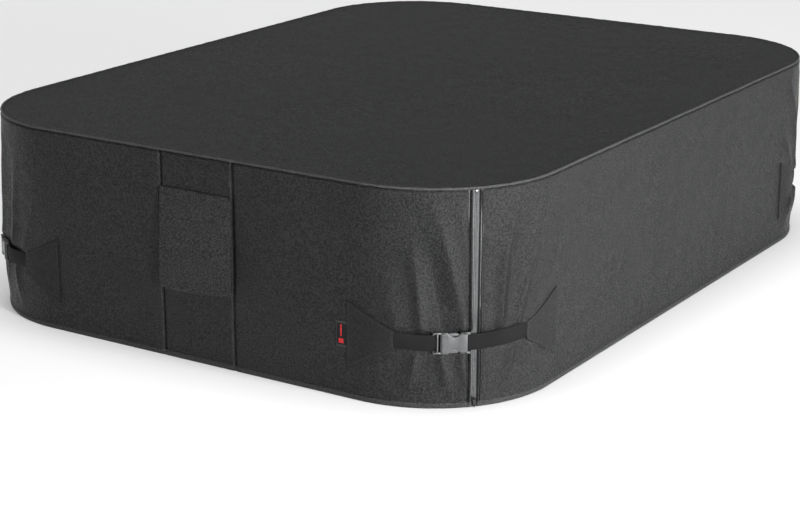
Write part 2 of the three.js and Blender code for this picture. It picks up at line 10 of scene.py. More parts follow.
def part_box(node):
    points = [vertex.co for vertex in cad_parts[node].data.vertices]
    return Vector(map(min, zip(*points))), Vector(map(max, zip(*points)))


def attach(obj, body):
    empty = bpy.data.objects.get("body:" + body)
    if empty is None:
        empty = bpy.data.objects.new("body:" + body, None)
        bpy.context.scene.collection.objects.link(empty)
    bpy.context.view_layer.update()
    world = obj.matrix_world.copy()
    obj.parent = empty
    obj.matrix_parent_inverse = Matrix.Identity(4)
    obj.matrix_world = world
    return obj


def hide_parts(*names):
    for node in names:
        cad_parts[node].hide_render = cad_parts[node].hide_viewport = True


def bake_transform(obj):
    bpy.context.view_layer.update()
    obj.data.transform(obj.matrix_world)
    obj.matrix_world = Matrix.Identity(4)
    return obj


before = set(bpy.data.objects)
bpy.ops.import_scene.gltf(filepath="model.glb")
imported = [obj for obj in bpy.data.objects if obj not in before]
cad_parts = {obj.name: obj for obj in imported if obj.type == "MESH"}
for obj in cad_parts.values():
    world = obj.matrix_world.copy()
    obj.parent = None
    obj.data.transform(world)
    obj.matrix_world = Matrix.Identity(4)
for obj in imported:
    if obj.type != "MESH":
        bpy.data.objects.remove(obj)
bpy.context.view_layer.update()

MM = 0.001

# ---- Sizes, from the frame where a node's box shows them ----

PIPING_LOW, PIPING_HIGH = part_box("rim_piping")
WIDTH = PIPING_HIGH.x - PIPING_LOW.x
LENGTH = PIPING_HIGH.y - PIPING_LOW.y
HEIGHT = PIPING_HIGH.z
PIPING_RADIUS = (PIPING_HIGH.z - PIPING_LOW.z) / 2
CORNER_RADIUS = 335 * MM
FLAT_X = WIDTH / 2 - CORNER_RADIUS
FLAT_Y = LENGTH / 2 - CORNER_RADIUS
ARC = CORNER_RADIUS * math.pi / 2
PERIMETER = 4 * (FLAT_X + FLAT_Y + ARC)
CORNER_MIDDLE = FLAT_X + ARC / 2

HEM_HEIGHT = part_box("hem_band")[1].z
SKIRT_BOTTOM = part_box("skirt_left")[0].z
SKIRT_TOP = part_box("skirt_left")[1].z
VENT_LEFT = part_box("front_vent_panel")[0].x
VENT_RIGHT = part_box("front_vent_panel")[1].x
VENT_MIDDLE = (VENT_LEFT + VENT_RIGHT) / 2
SEAM_GAP = 0.2 * MM
ZIP_POSITION = 777.5 * MM
ZIP_OPENING = 16 * MM
ZIP_LEFT = ZIP_POSITION - ZIP_OPENING / 2
ZIP_RIGHT = ZIP_POSITION + ZIP_OPENING / 2
CLOTH = 1.6 * MM
CLASP_HEIGHT = 169 * MM
CLASP_SHIFT = 36 * MM
BUCKLE_LIFT = 7.6 * MM
WEBBING_WIDTH = 40 * MM
WEBBING = 1.6 * MM
PATCH_TIP = 172 * MM
PATCH_REACH = 298 * MM
BUCKLE_WIDTH = 53
WINDOW_CENTRE = 9.5
WINDOW_HALF = 15.5
WINDOW_DEPTH = 11

# name, middle of the corner along the outline, and the way from it to the long side
CORNERS = [
    ("front_right", CORNER_MIDDLE, 1),
    ("front_left", -CORNER_MIDDLE, -1),
    ("back_right", PERIMETER / 2 - CORNER_MIDDLE, -1),
    ("back_left", -(PERIMETER / 2 - CORNER_MIDDLE), 1),
]
ENDS = [("front", 0.0), ("back", PERIMETER / 2)]


def link(name, data):
    """A new object with the given data, in the scene."""
    obj = bpy.data.objects.new(name, data)
    bpy.context.scene.collection.objects.link(obj)
    return obj


# ---- Camera, floor and light ----

LENS_MM = 92.66
SENSOR_MM = 36
CAMERA_PLACE = (3.0638, -4.9608, 1.8057)
CAMERA_RIGHT = (0.8441, 0.5362, 0.0043)
CAMERA_FORWARD = (-0.5108, 0.8064, -0.2979)
LIGHT_AIM = Vector((0.65, -0.95, 0.3))
KEY_WATTS = 350
CREST_WATTS = 130


def add_camera():
    data = bpy.data.cameras.new("camera")
    data.lens = LENS_MM
    data.sensor_width = SENSOR_MM
    data.clip_end = 100
    camera = link("camera", data)
    right = Vector(CAMERA_RIGHT).normalized()
    forward = Vector(CAMERA_FORWARD).normalized()
    up = right.cross(forward)
    turn = Matrix((right, up, -forward)).transposed()
    camera.matrix_world = Matrix.Translation(CAMERA_PLACE) @ turn.to_4x4()
    bpy.context.scene.camera = camera


def add_area_light(name, where, size, power):
    """A softbox that lights the cover and stays out of the camera's sight."""
    data = bpy.data.lights.new(name, "AREA")
    data.shape = "RECTANGLE"
    data.size, data.size_y = size
    data.energy = power
    light = link(name, data)
    light.location = where
    light.rotation_euler = (LIGHT_AIM - Vector(where)).to_track_quat("-Z", "Y").to_euler()
    light.visible_camera = False


def add_studio():
    bpy.ops.mesh.primitive_plane_add(size=60, location=(0, 0, -0.0005))
    floor = bpy.context.object
    floor.name = "floor"
    material = bpy.data.materials.new("floor")
    material.use_nodes = True
    shader = material.node_tree.nodes["Principled BSDF"]
    shader.inputs["Base Color"].default_value = (0.84, 0.84, 0.835, 1)
    shader.inputs["Roughness"].default_value = 0.9
    floor.data.materials.append(material)
    world = bpy.data.worlds.new("studio")
    world.use_nodes = True
    world.node_tree.nodes["Background"].inputs["Color"].default_value = (0.97, 0.98, 1, 1)
    world.node_tree.nodes["Background"].inputs["Strength"].default_value = 0.26
    bpy.context.scene.world = world
    add_area_light("key", (4.7, -2.6, 0.85), (0.7, 1.6), KEY_WATTS)
    add_area_light("crest", (5.0, -0.8, 0.85), (0.4, 1.6), CREST_WATTS)
    sky = bpy.data.lights.new("sky", "SUN")
    sky.energy = 2.2
    sky.angle = math.radians(50)
    light = link("sky", sky)
    light.rotation_euler = (math.radians(4), 0, 0)
    bpy.context.scene.view_settings.view_transform = "Standard"


# ---- The skirt's outline and its cloth ----

def outline(s, offset=0.0):
    """Points and outward normals at s along the skirt, anticlockwise from the middle of the front."""
    s, offset = np.broadcast_arrays(np.asarray(s, float), np.asarray(offset, float))
    turned = s - PERIMETER * np.round(s / PERIMETER)
    side = np.where(turned < 0, -1.0, 1.0)
    along = np.abs(turned)
    corner_2 = FLAT_X + ARC + 2 * FLAT_Y
    turn_1 = np.clip((along - FLAT_X) / CORNER_RADIUS, 0, math.pi / 2)
    turn_2 = np.clip((along - corner_2) / CORNER_RADIUS, 0, math.pi / 2)
    angle = turn_1 + turn_2
    x = np.minimum(along, FLAT_X) - np.maximum(along - corner_2 - ARC, 0)
    y = np.clip(along - FLAT_X - ARC, 0, 2 * FLAT_Y) - FLAT_Y
    nx, ny = np.sin(angle), -np.cos(angle)
    reach = CORNER_RADIUS + offset
    return side * (x + reach * nx), y + reach * ny, side * nx, ny


def place(s, offset, z):
    """Points in the scene, as an array whose last axis is x, y, z."""
    s, offset, z = np.broadcast_arrays(s, offset, z)
    x, y, _, _ = outline(s, offset)
    return np.stack([x, y, z], -1)


def step(low, high, value):
    """Eases from 0 at low to 1 at high."""
    t = np.clip((value - low) / (high - low), 0, 1)
    return t * t * (3 - 2 * t)


def bump(value, width):
    """1 at zero, falling off smoothly within the width."""
    return np.exp(-((value / width) ** 2))


def waves(u, v, seed, shortest, longest, count=28):
    """Smooth random relief of about unit height, from plane waves of many lengths."""
    rng = np.random.default_rng(seed)
    total = np.zeros(np.broadcast(u, v).shape)
    weight = 0.0
    for _ in range(count):
        length = shortest * (longest / shortest) ** rng.random()
        direction = rng.uniform(0, math.pi)
        phase = rng.uniform(0, 2 * math.pi)
        size = length / longest
        travel = u * math.cos(direction) + v * math.sin(direction)
        total += size * np.sin(2 * math.pi * travel / length + phase)
        weight += size * size / 2
    return total / math.sqrt(weight)


def along_folds(points, d, z):
    """Distance from a fold's line, and how far up the line each point is, from 0 at its lower end to 1."""
    line = np.array(sorted(points, key=lambda p: p[1])) * MM
    middle = np.interp(z, line[:, 1], line[:, 0])
    share = (z - line[0, 1]) / (line[-1, 1] - line[0, 1])
    slope = np.gradient(line[:, 0], line[:, 1])
    lean = np.interp(z, line[:, 1], slope)
    return (d - middle) / np.sqrt(1 + lean**2), share


# Folds at a strapped corner: points (from the corner's middle towards the long side, height) in mm, then the
# fold's height and half width in mm. The strap gathers them, so they fan out from it.
FOLDS_ABOVE = [
    ([(84, 176), (92, 240), (95, 300), (98, 350), (108, 400), (121, 450), (130, 500)], 13.0, 13),
    ([(132, 176), (145, 235), (160, 280), (176, 330), (190, 385), (208, 430), (240, 485)], 14.0, 13),
    ([(185, 180), (215, 230), (245, 280), (275, 320), (300, 360)], 6.0, 15),
    ([(-2, 176), (-12, 250), (-30, 335), (-49, 410), (-68, 480), (-84, 535)], 13.0, 22),
    ([(-104, 178), (-107, 235), (-113, 290), (-121, 360), (-130, 430)], 9.0, 15),
    ([(18, 180), (13, 260), (10, 340), (0, 420), (-20, 510)], 6.0, 12),
    ([(-160, 185), (-175, 250), (-200, 320)], 4.0, 18),
    ([(-52, 180), (-60, 240), (-72, 320), (-95, 420)], -5.0, 16),
]
FOLDS_BELOW = [
    ([(-112, 160), (-119, 125), (-127, 85), (-132, 45)], 7.0, 12),
    ([(-63, 160), (-55, 120), (-46, 85), (-40, 40)], 7.5, 11),
    ([(-12, 160), (-7, 115), (0, 75), (6, 30)], 8.0, 11),
    ([(130, 160), (121, 120), (108, 80), (98, 40)], 10.0, 11),
    ([(196, 158), (210, 120), (232, 80), (250, 50)], 8.5, 13),
    ([(60, 160), (62, 120), (66, 80)], 4.0, 11),
    ([(165, 160), (168, 120), (172, 70)], -4.0, 12),
]


def corner_folds(d, z, seed):
    """Height of the folds round one corner, d being the distance from its middle towards the long side."""
    rng = np.random.default_rng(seed)
    lift = np.zeros(np.broadcast(d, z).shape)
    own = 0.0 if seed == 0 else 1.0
    for folds, above in ((FOLDS_ABOVE, True), (FOLDS_BELOW, False)):
        for points, height, width in folds:
            shift = own * rng.uniform(-14, 14)
            grow = 1 + own * rng.uniform(-0.35, 0.25)
            moved = [(x + shift * (abs(y - 169) / 150), y) for x, y in points]
            distance, share = along_folds(moved, d, z)
            rise = share if above else 1 - share
            spread_ = width * MM * (0.85 + 0.9 * np.clip(rise, 0, 1))
            shape = 0.72 * bump(distance, spread_) + 0.28 / (1 + (distance / (0.3 * spread_)) ** 2)
            fade = step(1.25, 0.45, rise) * step(-0.12, 0.06, rise)
            lift += height * grow * MM * shape * fade
    hollow = -3.2 * MM * step(0.30, 0.05, np.abs(d)) * bump(z - 300 * MM, 150 * MM)
    return lift + hollow * step(30 * MM, 90 * MM, np.abs(z - CLASP_HEIGHT))


def strap_press(d, z):
    """1 where a strap or its patch holds the skirt in, 0 away from it."""
    by_height = step(34 * MM, 21 * MM, np.abs(z - CLASP_HEIGHT))
    return by_height * step(PATCH_REACH + 10 * MM, PATCH_REACH - 20 * MM, np.abs(d))


def patch_edges(d):
    """Heights of a patch's low and high edges, at distance d from the corner's middle."""
    share = np.clip((np.abs(d) - PATCH_TIP) / (PATCH_REACH - PATCH_TIP), 0, 1)
    low = (147 + (76 - 147) * share) * MM
    high = (191 + (252 - 191) * share) * MM
    return low, high


def cloth_lift(s, z):
    """How far the skirt's outer face stands off its plain outline."""
    s, z = np.broadcast_arrays(np.asarray(s, float), np.asarray(z, float))
    turned = s - PERIMETER * np.round(s / PERIMETER)
    hang = step(0.0, 60 * MM, z) * step(HEIGHT, HEIGHT - 90 * MM, z)
    lift = 1.1 * MM * waves(turned, z, 11, 0.18, 0.9) * hang
    lift += 0.28 * MM * waves(turned, z, 12, 0.03, 0.12) * hang
    for number, (_, middle, sign) in enumerate(CORNERS):
        d = (turned - middle) * sign
        near = np.abs(d) < 0.42
        folded = corner_folds(d[near], z[near], number)
        edge = step(0.0, 22 * MM, z[near]) * step(HEIGHT - 6 * MM, HEIGHT - 60 * MM, z[near])
        held = strap_press(d[near], z[near])
        low, high = patch_edges(d[near])
        under_patch = (
            step(PATCH_TIP - 6 * MM, PATCH_TIP + 12 * MM, np.abs(d[near]))
            * step(PATCH_REACH + 14 * MM, PATCH_REACH - 4 * MM, np.abs(d[near]))
            * step(low - 12 * MM, low + 6 * MM, z[near])
            * step(high + 12 * MM, high - 6 * MM, z[near])
        )
        held = np.maximum(held, under_patch)
        lift[near] = lift[near] * (1 - 0.8 * held) + folded * edge * (1 - held) - 0.6 * MM * held
    return lift


def seam_lift(s, z):
    """Cloth turned under at the vent seams, and at the zip's two folded edges."""
    s = np.asarray(s, float)
    turned = s - PERIMETER * np.round(s / PERIMETER)
    lift = np.zeros(np.broadcast(s, z).shape)
    for _, start in ENDS:
        for edge in (VENT_LEFT, VENT_RIGHT):
            away = turned - (edge + start)
            away = away - PERIMETER * np.round(away / PERIMETER)
            lift = lift - 5.2 * MM * bump(away, 4.6 * MM) + 0.8 * MM * bump(np.abs(away) - 12 * MM, 5 * MM)
    left = ZIP_LEFT - turned
    lip = 3.6 * MM * bump(left - 3.8 * MM, 3.0 * MM) - 3.4 * MM * bump(left - 9.6 * MM, 2.6 * MM)
    lip = lip - 2.4 * MM * bump(left, 1.3 * MM)
    right = turned - ZIP_RIGHT
    flat = 2.4 * MM * bump(right - 2.2 * MM, 2.0 * MM) - 2.4 * MM * bump(right - 5.6 * MM, 1.4 * MM)
    flat = flat + 0.6 * MM * bump(right - 8.6 * MM, 1.5 * MM) - 0.9 * MM * bump(right - 11.4 * MM, 1.1 * MM)
    for past, profile in ((left, lip), (right, flat)):
        lift = lift + np.where((past >= -1e-6) & (past < 50 * MM), profile, 0)
    return lift


def skirt_face(s, z):
    """Outer face of the skirt, with its top edge turned in under the rim."""
    turn_in = -3.4 * MM * step(SKIRT_TOP - 5 * MM, SKIRT_TOP + 1 * MM, z)
    return cloth_lift(s, z) + seam_lift(s, z) + turn_in


# ---- Meshes ----

def make_object(name, verts, faces, uv, material, sharp):
    mesh = bpy.data.meshes.new(name)
    mesh.from_pydata(np.asarray(verts, float).tolist(), [], np.asarray(faces).tolist())
    layer = mesh.uv_layers.new(name="Weave")
    loops = np.zeros(len(mesh.loops), np.int32)
    mesh.loops.foreach_get("vertex_index", loops)
    layer.uv.foreach_set("vector", np.asarray(uv, np.float32)[loops].ravel())
    mesh.shade_smooth()
    mesh.set_sharp_from_angle(angle=math.radians(sharp))
    mesh.materials.append(material)
    return link(name, mesh)


def shell_parts(outer, inner, uv, mask=None):
    """A closed sheet between two grids of points. Rows run up and columns run along the outline."""
    rows, cols = outer.shape[:2]
    if mask is None:
        mask = np.ones((rows - 1, cols - 1), bool)
    index = np.arange(rows * cols).reshape(rows, cols)
    a, b, c, d = index[:-1, :-1], index[:-1, 1:], index[1:, 1:], index[1:, :-1]
    n = rows * cols
    padded = np.zeros((rows + 1, cols + 1), bool)
    padded[1:-1, 1:-1] = mask
    below, above = padded[:-2, 1:-1], padded[2:, 1:-1]
    before, after = padded[1:-1, :-2], padded[1:-1, 2:]
    pick = lambda where, *quad: np.stack([q[where] for q in quad], -1)
    faces = [
        pick(mask, a, b, c, d),
        pick(mask, a + n, d + n, c + n, b + n),
        pick(mask & ~below, a + n, b + n, b, a),
        pick(mask & ~above, d, c, c + n, d + n),
        pick(mask & ~before, a, d, d + n, a + n),
        pick(mask & ~after, b + n, c + n, c, b),
    ]
    faces = np.concatenate(faces)
    verts = np.concatenate([outer.reshape(-1, 3), inner.reshape(-1, 3)])
    uvs = np.concatenate([uv.reshape(-1, 2)] * 2)
    used, faces = np.unique(faces, return_inverse=True)
    return verts[used], faces.reshape(-1, 4), uvs[used]


def shell(name, outer, inner, uv, material, mask=None, sharp=40):
    verts, faces, uvs = shell_parts(outer, inner, uv, mask)
    return make_object(name, verts, faces, uvs, material, sharp)


def face_outwards(obj):
    mesh = bmesh.new()
    mesh.from_mesh(obj.data)
    bmesh.ops.recalc_face_normals(mesh, faces=mesh.faces)
    mesh.to_mesh(obj.data)
    mesh.free()
    return obj


def smooth_object(name, verts, faces, material):
    """A smooth closed piece whose faces all look outwards."""
    mesh = bpy.data.meshes.new(name)
    mesh.from_pydata(verts.tolist(), [], faces)
    mesh.shade_smooth()
    mesh.materials.append(material)
    return face_outwards(link(name, mesh))


def refine(from_, to, spacing):
    """Steps from one value to another whose spacing is a function of the place."""
    steps = [from_]
    while steps[-1] < to:
        steps.append(steps[-1] + spacing(steps[-1]))
    steps = np.array(steps)
    return from_ + (steps - from_) * (to - from_) / (steps[-1] - from_)


def skirt_spacing(s):
    turned = s - PERIMETER * round(s / PERIMETER)
    back_vent = [PERIMETER / 2 + VENT_LEFT, VENT_RIGHT - PERIMETER / 2]
    edges = [ZIP_LEFT, ZIP_RIGHT, VENT_LEFT, VENT_RIGHT] + back_vent
    nearest = min(abs(turned - e) for e in edges)
    if nearest < 14 * MM:
        return 1.0 * MM
    if min(abs(turned - middle) for _, middle, _ in CORNERS) < 0.32:
        return 3.4 * MM
    return 11 * MM


def height_steps(low, high):
    return refine(low, high, lambda z: 2.5 * MM if z < 30 * MM or z > HEIGHT - 24 * MM else 8 * MM)


def wrapped_sheet(name, s, z, lift, material, thickness=CLOTH, mask=None):
    """A sheet that follows the skirt. lift(s, z) is where its outer face is."""
    s, z = np.meshgrid(s, z)
    outer = lift(s, z)
    uv = np.stack([s, z], -1)
    thick = thickness(s, z) if callable(thickness) else thickness
    return shell(name, place(s, outer, z), place(s, outer - thick, z), uv, material, mask)


# ---- Stitches ----

STITCH_RINGS = [(-0.5, 0.25), (-0.34, 1.0), (0.34, 1.0), (0.5, 0.25)]


def stitch_mesh(points, normals, name, pitch=4.2 * MM, length=3.2 * MM):
    """A row of thread stitches lying on a surface along a line of points."""
    points = np.asarray(points, float)
    lengths = np.linalg.norm(np.diff(points, axis=0), axis=1)
    travelled = np.concatenate([[0], np.cumsum(lengths)])
    count = max(1, int(travelled[-1] / pitch))
    middles = (np.arange(count) + 0.5) * travelled[-1] / count
    at = lambda where, values: np.stack([np.interp(where, travelled, values[:, i]) for i in range(3)], -1)
    centre = at(middles, points)
    along = at(middles + length / 2, points) - at(middles - length / 2, points)
    along /= np.linalg.norm(along, axis=1, keepdims=True)
    up = at(middles, np.asarray(normals, float))
    up -= along * (up * along).sum(1, keepdims=True)
    up /= np.linalg.norm(up, axis=1, keepdims=True)
    across = np.cross(along, up)
    sides = 5
    radius = 0.42 * MM
    verts = []
    for share, size in STITCH_RINGS:
        dip = -0.25 * MM * (1 - size)
        for k in range(sides):
            angle = 2 * math.pi * k / sides
            verts.append(
                centre
                + along * (share * length)
                + across * (math.cos(angle) * radius * size * 1.25)
                + up * (math.sin(angle) * radius * size + dip + 0.12 * MM)
            )
    verts = np.stack(verts, 1)
    per = len(STITCH_RINGS) * sides
    quads = []
    for ring in range(len(STITCH_RINGS) - 1):
        for k in range(sides):
            a, b = ring * sides + k, ring * sides + (k + 1) % sides
            quads.append([a, b, b + sides, a + sides])
    starts = (np.arange(count) * per)[:, None, None]
    faces = (np.array(quads)[None] + starts).reshape(-1, 4).tolist()
    first = list(range(sides))[::-1]
    last = [per - sides + k for k in range(sides)]
    for i in range(count):
        faces.append([v + i * per for v in first])
        faces.append([v + i * per for v in last])
    return smooth_object(name, verts.reshape(-1, 3), faces, THREAD)


def stitch_row(name, s, z, lift, body, slot, **how):
    """Stitches along a line given by places on the skirt, and by how far out the surface is there."""
    s, z = np.broadcast_arrays(np.asarray(s, float), np.asarray(z, float))
    points = place(s, lift(s, z), z)
    _, _, nx, ny = outline(s)
    normals = np.stack([nx, ny, np.zeros_like(nx)], -1)
    row = stitch_mesh(points, normals, name, **how)
    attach(row, body)


# ---- Materials ----

def node(tree, kind, inputs=(), **settings):
    made = tree.nodes.new(kind)
    for key, value in settings.items():
        setattr(made, key, value)
    for key, value in dict(inputs).items():
        if isinstance(value, bpy.types.NodeSocket):
            tree.links.new(value, made.inputs[key])
        else:
            made.inputs[key].default_value = value
    return made


def math_node(tree, operation, a, b=0.0):
    return node(tree, "ShaderNodeMath", {0: a, 1: b}, operation=operation).outputs[0]


def new_material(name):
    material = bpy.data.materials.new(name)
    material.use_nodes = True
    tree = material.node_tree
    return material, tree, tree.nodes["Principled BSDF"]


def coordinates(tree):
    """Metres along and across the cloth, and the place on the object."""
    uv = node(tree, "ShaderNodeUVMap", uv_map="Weave").outputs[0]
    return uv, node(tree, "ShaderNodeTexCoord").outputs["Object"]


def colour_mix(tree, factor, a, b):
    mix = node(tree, "ShaderNodeMix", data_type="RGBA")
    tree.links.new(factor, mix.inputs[0])
    for socket, value in ((mix.inputs[6], a), (mix.inputs[7], b)):
        if isinstance(value, bpy.types.NodeSocket):
            tree.links.new(value, socket)
        else:
            socket.default_value = (*value, 1)
    return mix.outputs[2]


def noise(tree, vector, scale, detail=2.0, roughness=0.5):
    values = {"Vector": vector, "Scale": scale, "Detail": detail, "Roughness": roughness}
    return node(tree, "ShaderNodeTexNoise", values).outputs[0]


def band(tree, vector, direction, pitch):
    """Smooth ridges with the given pitch in metres along U or V."""
    per_metre = 2 * math.pi / 20 / pitch
    values = {"Vector": vector, "Scale": per_metre, "Distortion": 0.0}
    wave = node(tree, "ShaderNodeTexWave", values, bands_direction=direction)
    return wave.outputs[1]


def spread(tree, value, low, high, to_low, to_high):
    values = {"Value": value, "From Min": low, "From Max": high, "To Min": to_low, "To Max": to_high}
    return node(tree, "ShaderNodeMapRange", values).outputs[0]


def cloth_material(name, dark, light, rough=0.42, pitch=1.1 * MM, depth=1.0, grain=0.8):
    """Coated woven polyester: a plain weave, flecked yarn, and faint clouding from handling."""
    material, tree, shader = new_material(name)
    uv, here = coordinates(tree)
    warp = band(tree, uv, "X", pitch)
    weft = band(tree, uv, "Y", pitch)
    weave = math_node(tree, "MULTIPLY", warp, weft)
    fleck = noise(tree, here, 235, 3.0, 0.7)
    thread = noise(tree, here, 1700, 1.0)
    cloud = noise(tree, here, 4.5, 4.0, 0.6)
    scuffs = noise(tree, here, 38, 5.0, 0.65)
    flecked = spread(tree, fleck, 0.40, 0.60, 0.5 - grain / 2, 0.5 + grain / 2)
    clouded = spread(tree, cloud, 0.35, 0.65, -0.06, 0.06)
    woven = spread(tree, weave, 0.0, 1.0, -0.08, 0.08)
    share = math_node(tree, "ADD", math_node(tree, "ADD", flecked, clouded), woven)
    tree.links.new(colour_mix(tree, share, dark, light), shader.inputs["Base Color"])
    gloss = spread(tree, scuffs, 0.3, 0.7, rough - 0.04, rough + 0.04)
    gloss = math_node(tree, "ADD", gloss, spread(tree, fleck, 0.42, 0.58, 0.11, -0.11))
    tree.links.new(gloss, shader.inputs["Roughness"])
    height = math_node(tree, "MULTIPLY", weave, 0.25)
    height = math_node(tree, "ADD", height, math_node(tree, "MULTIPLY", thread, 0.3))
    height = math_node(tree, "ADD", height, math_node(tree, "MULTIPLY", fleck, 1.5))
    relief = node(tree, "ShaderNodeBump", {"Strength": depth, "Distance": 0.0011, "Height": height})
    tree.links.new(relief.outputs[0], shader.inputs["Normal"])
    shader.inputs["Specular IOR Level"].default_value = 0.25
    return material


def webbing_material(name, dark, light):
    """Woven strap: close ribs across it, in rows along it."""
    material, tree, shader = new_material(name)
    uv, here = coordinates(tree)
    rib = band(tree, uv, "X", 1.7 * MM)
    row = band(tree, uv, "Y", 2.6 * MM)
    fleck = noise(tree, here, 900, 2.0)
    cloud = noise(tree, here, 25, 3.0)
    row = math_node(tree, "ADD", math_node(tree, "MULTIPLY", row, 0.6), 0.4)
    weave = math_node(tree, "MULTIPLY", rib, row)
    share = math_node(tree, "MULTIPLY", weave, 0.55)
    share = math_node(tree, "ADD", share, spread(tree, fleck, 0.3, 0.7, 0, 0.3))
    share = math_node(tree, "ADD", share, spread(tree, cloud, 0.3, 0.7, -0.08, 0.12))
    tree.links.new(colour_mix(tree, share, dark, light), shader.inputs["Base Color"])
    tree.links.new(spread(tree, fleck, 0.3, 0.7, 0.5, 0.68), shader.inputs["Roughness"])
    height = math_node(tree, "ADD", weave, math_node(tree, "MULTIPLY", fleck, 0.3))
    relief = node(tree, "ShaderNodeBump", {"Strength": 0.8, "Distance": 0.0012, "Height": height})
    tree.links.new(relief.outputs[0], shader.inputs["Normal"])
    shader.inputs["Specular IOR Level"].default_value = 0.16
    return material


def hard_material(name, dark, light, rough, metallic=0.0):
    """Moulded plastic or coated metal, with a fine orange-peel skin and rubbed patches."""
    material, tree, shader = new_material(name)
    here = node(tree, "ShaderNodeTexCoord").outputs["Object"]
    skin = noise(tree, here, 900, 2.0)
    rubbed = noise(tree, here, 60, 4.0, 0.6)
    share = spread(tree, rubbed, 0.3, 0.7, 0.1, 0.9)
    tree.links.new(colour_mix(tree, share, dark, light), shader.inputs["Base Color"])
    tree.links.new(spread(tree, rubbed, 0.3, 0.7, rough - 0.06, rough + 0.08), shader.inputs["Roughness"])
    relief = node(tree, "ShaderNodeBump", {"Strength": 0.12, "Distance": 0.0004, "Height": skin})
    tree.links.new(relief.outputs[0], shader.inputs["Normal"])
    shader.inputs["Metallic"].default_value = metallic
    shader.inputs["Specular IOR Level"].default_value = 0.5
    return material


def label_material():
    """Black woven label with a plain red block and a plain red bar."""
    material, tree, shader = new_material("woven_label")
    uv, here = coordinates(tree)
    split = node(tree, "ShaderNodeSeparateXYZ", {0: uv})

    def inside(value, low, high):
        above = math_node(tree, "GREATER_THAN", value, low)
        return math_node(tree, "MULTIPLY", above, math_node(tree, "LESS_THAN", value, high))

    u, v = split.outputs[0], split.outputs[1]
    edge = LABEL_EDGE

    def patch(left, right, low, high):
        across = inside(u, edge + left, edge + right)
        return math_node(tree, "MULTIPLY", across, inside(v, low, high))

    block = patch(7 * MM, 21 * MM, 138 * MM, 150 * MM)
    bar = patch(12 * MM, 16 * MM, 156 * MM, 186 * MM)
    red = math_node(tree, "MAXIMUM", block, bar)
    rows = band(tree, uv, "Y", 0.5 * MM)
    thread = math_node(tree, "MULTIPLY", rows, 0.4)
    black = colour_mix(tree, thread, (0.004, 0.004, 0.0045), (0.012, 0.012, 0.013))
    rest = patch(1.8 * MM, 1, 134.5 * MM, 188.5 * MM)
    black = colour_mix(tree, rest, (0.03, 0.03, 0.031), black)
    tree.links.new(colour_mix(tree, red, black, (0.42, 0.02, 0.025)), shader.inputs["Base Color"])
    tree.links.new(spread(tree, noise(tree, here, 700), 0.3, 0.7, 0.6, 0.75), shader.inputs["Roughness"])
    shader.inputs["Specular IOR Level"].default_value = 0.2
    relief = node(tree, "ShaderNodeBump", {"Strength": 0.4, "Distance": 0.0003, "Height": rows})
    tree.links.new(relief.outputs[0], shader.inputs["Normal"])
    return material


LABEL_EDGE = CORNER_MIDDLE - PATCH_REACH - 30 * MM
COVER_CLOTH = cloth_material("cover_cloth", (0.001, 0.0011, 0.0013), (0.018, 0.0182, 0.0187), grain=1.2)
EDGE_CLOTH = cloth_material("edge_cloth", (0.012, 0.0122, 0.0126), (0.040, 0.0403, 0.041))
# The piping is the same edge fabric as the hem, coloured lighter here: painted highlight for the light
# caught along the rim.
RIM_CLOTH_PAINTED_HIGHLIGHT = cloth_material("rim_cloth_painted_highlight", (0.022, 0.0223, 0.023), (0.060, 0.0603, 0.061), rough=0.36)
PATCH_CLOTH = cloth_material(
    "patch_cloth", (0.003, 0.0031, 0.0033), (0.013, 0.0132, 0.0136),
    rough=0.6, depth=0.4, grain=0.5,
)
# The flap is cut from the cover cloth but coloured lighter: painted light, standing in for the shade
# contrast between the proud flap and the panel under it.
FLAP_CLOTH_PAINTED_LIGHT = cloth_material(
    "flap_cloth_painted_light", (0.003, 0.0031, 0.0033), (0.032, 0.0323, 0.033),
    rough=0.46, grain=1.2,
)
TAPE_CLOTH = cloth_material(
    "tape_cloth", (0.045, 0.046, 0.047), (0.09, 0.092, 0.095),
    pitch=0.8 * MM, depth=0.4, grain=0.4,
)
NET_CLOTH = cloth_material(
    "net_cloth", (0.006, 0.006, 0.007), (0.02, 0.02, 0.022),
    rough=0.55, pitch=0.8 * MM,
)
STRAP_WEB = webbing_material("strap_webbing", (0.002, 0.002, 0.0022), (0.012, 0.012, 0.0124))
THREAD = cloth_material("thread", (0.014, 0.014, 0.015), (0.05, 0.05, 0.052), pitch=0.5 * MM, depth=0.2)
BUCKLE = hard_material("buckle_plastic", (0.068, 0.0695, 0.072), (0.082, 0.0835, 0.086), 0.32, metallic=0.25)
COIL = hard_material("zip_coil", (0.06, 0.061, 0.063), (0.12, 0.122, 0.125), 0.32)
ZIP_METAL = hard_material("zip_metal", (0.012, 0.012, 0.013), (0.04, 0.04, 0.042), 0.34, metallic=0.8)
STOP_METAL = hard_material("stop_metal", (0.09, 0.09, 0.09), (0.16, 0.16, 0.16), 0.35, metallic=0.9)
LABEL = label_material()


# ---- Skirt, hem, rim and top ----

def add_skirt():
    back = PERIMETER / 2
    panels = {
        "skirt_front_right": (VENT_RIGHT + SEAM_GAP, ZIP_LEFT),
        "skirt_right": (ZIP_RIGHT, back + VENT_LEFT - SEAM_GAP),
        "skirt_left": (back + VENT_RIGHT + SEAM_GAP, PERIMETER + VENT_LEFT - SEAM_GAP),
    }
    z = height_steps(SKIRT_BOTTOM - 2 * MM, SKIRT_TOP)
    for name, (start, stop) in panels.items():
        s = refine(start, stop, skirt_spacing)
        panel = wrapped_sheet(name + "_cloth", s, z, skirt_face, COVER_CLOTH)
        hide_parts(name)
        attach(panel, "cover")


def hem_face(s, z):
    """The turned hem, a rolled band a little proud of the skirt."""
    share = np.clip(z / HEM_HEIGHT, 0, 1)
    round_ = 1.0 * MM - 1.8 * MM * (2 * share - 1) ** 4
    return cloth_lift(s, np.maximum(z, 6 * MM)) + seam_lift(s, z) * 0.35 + round_


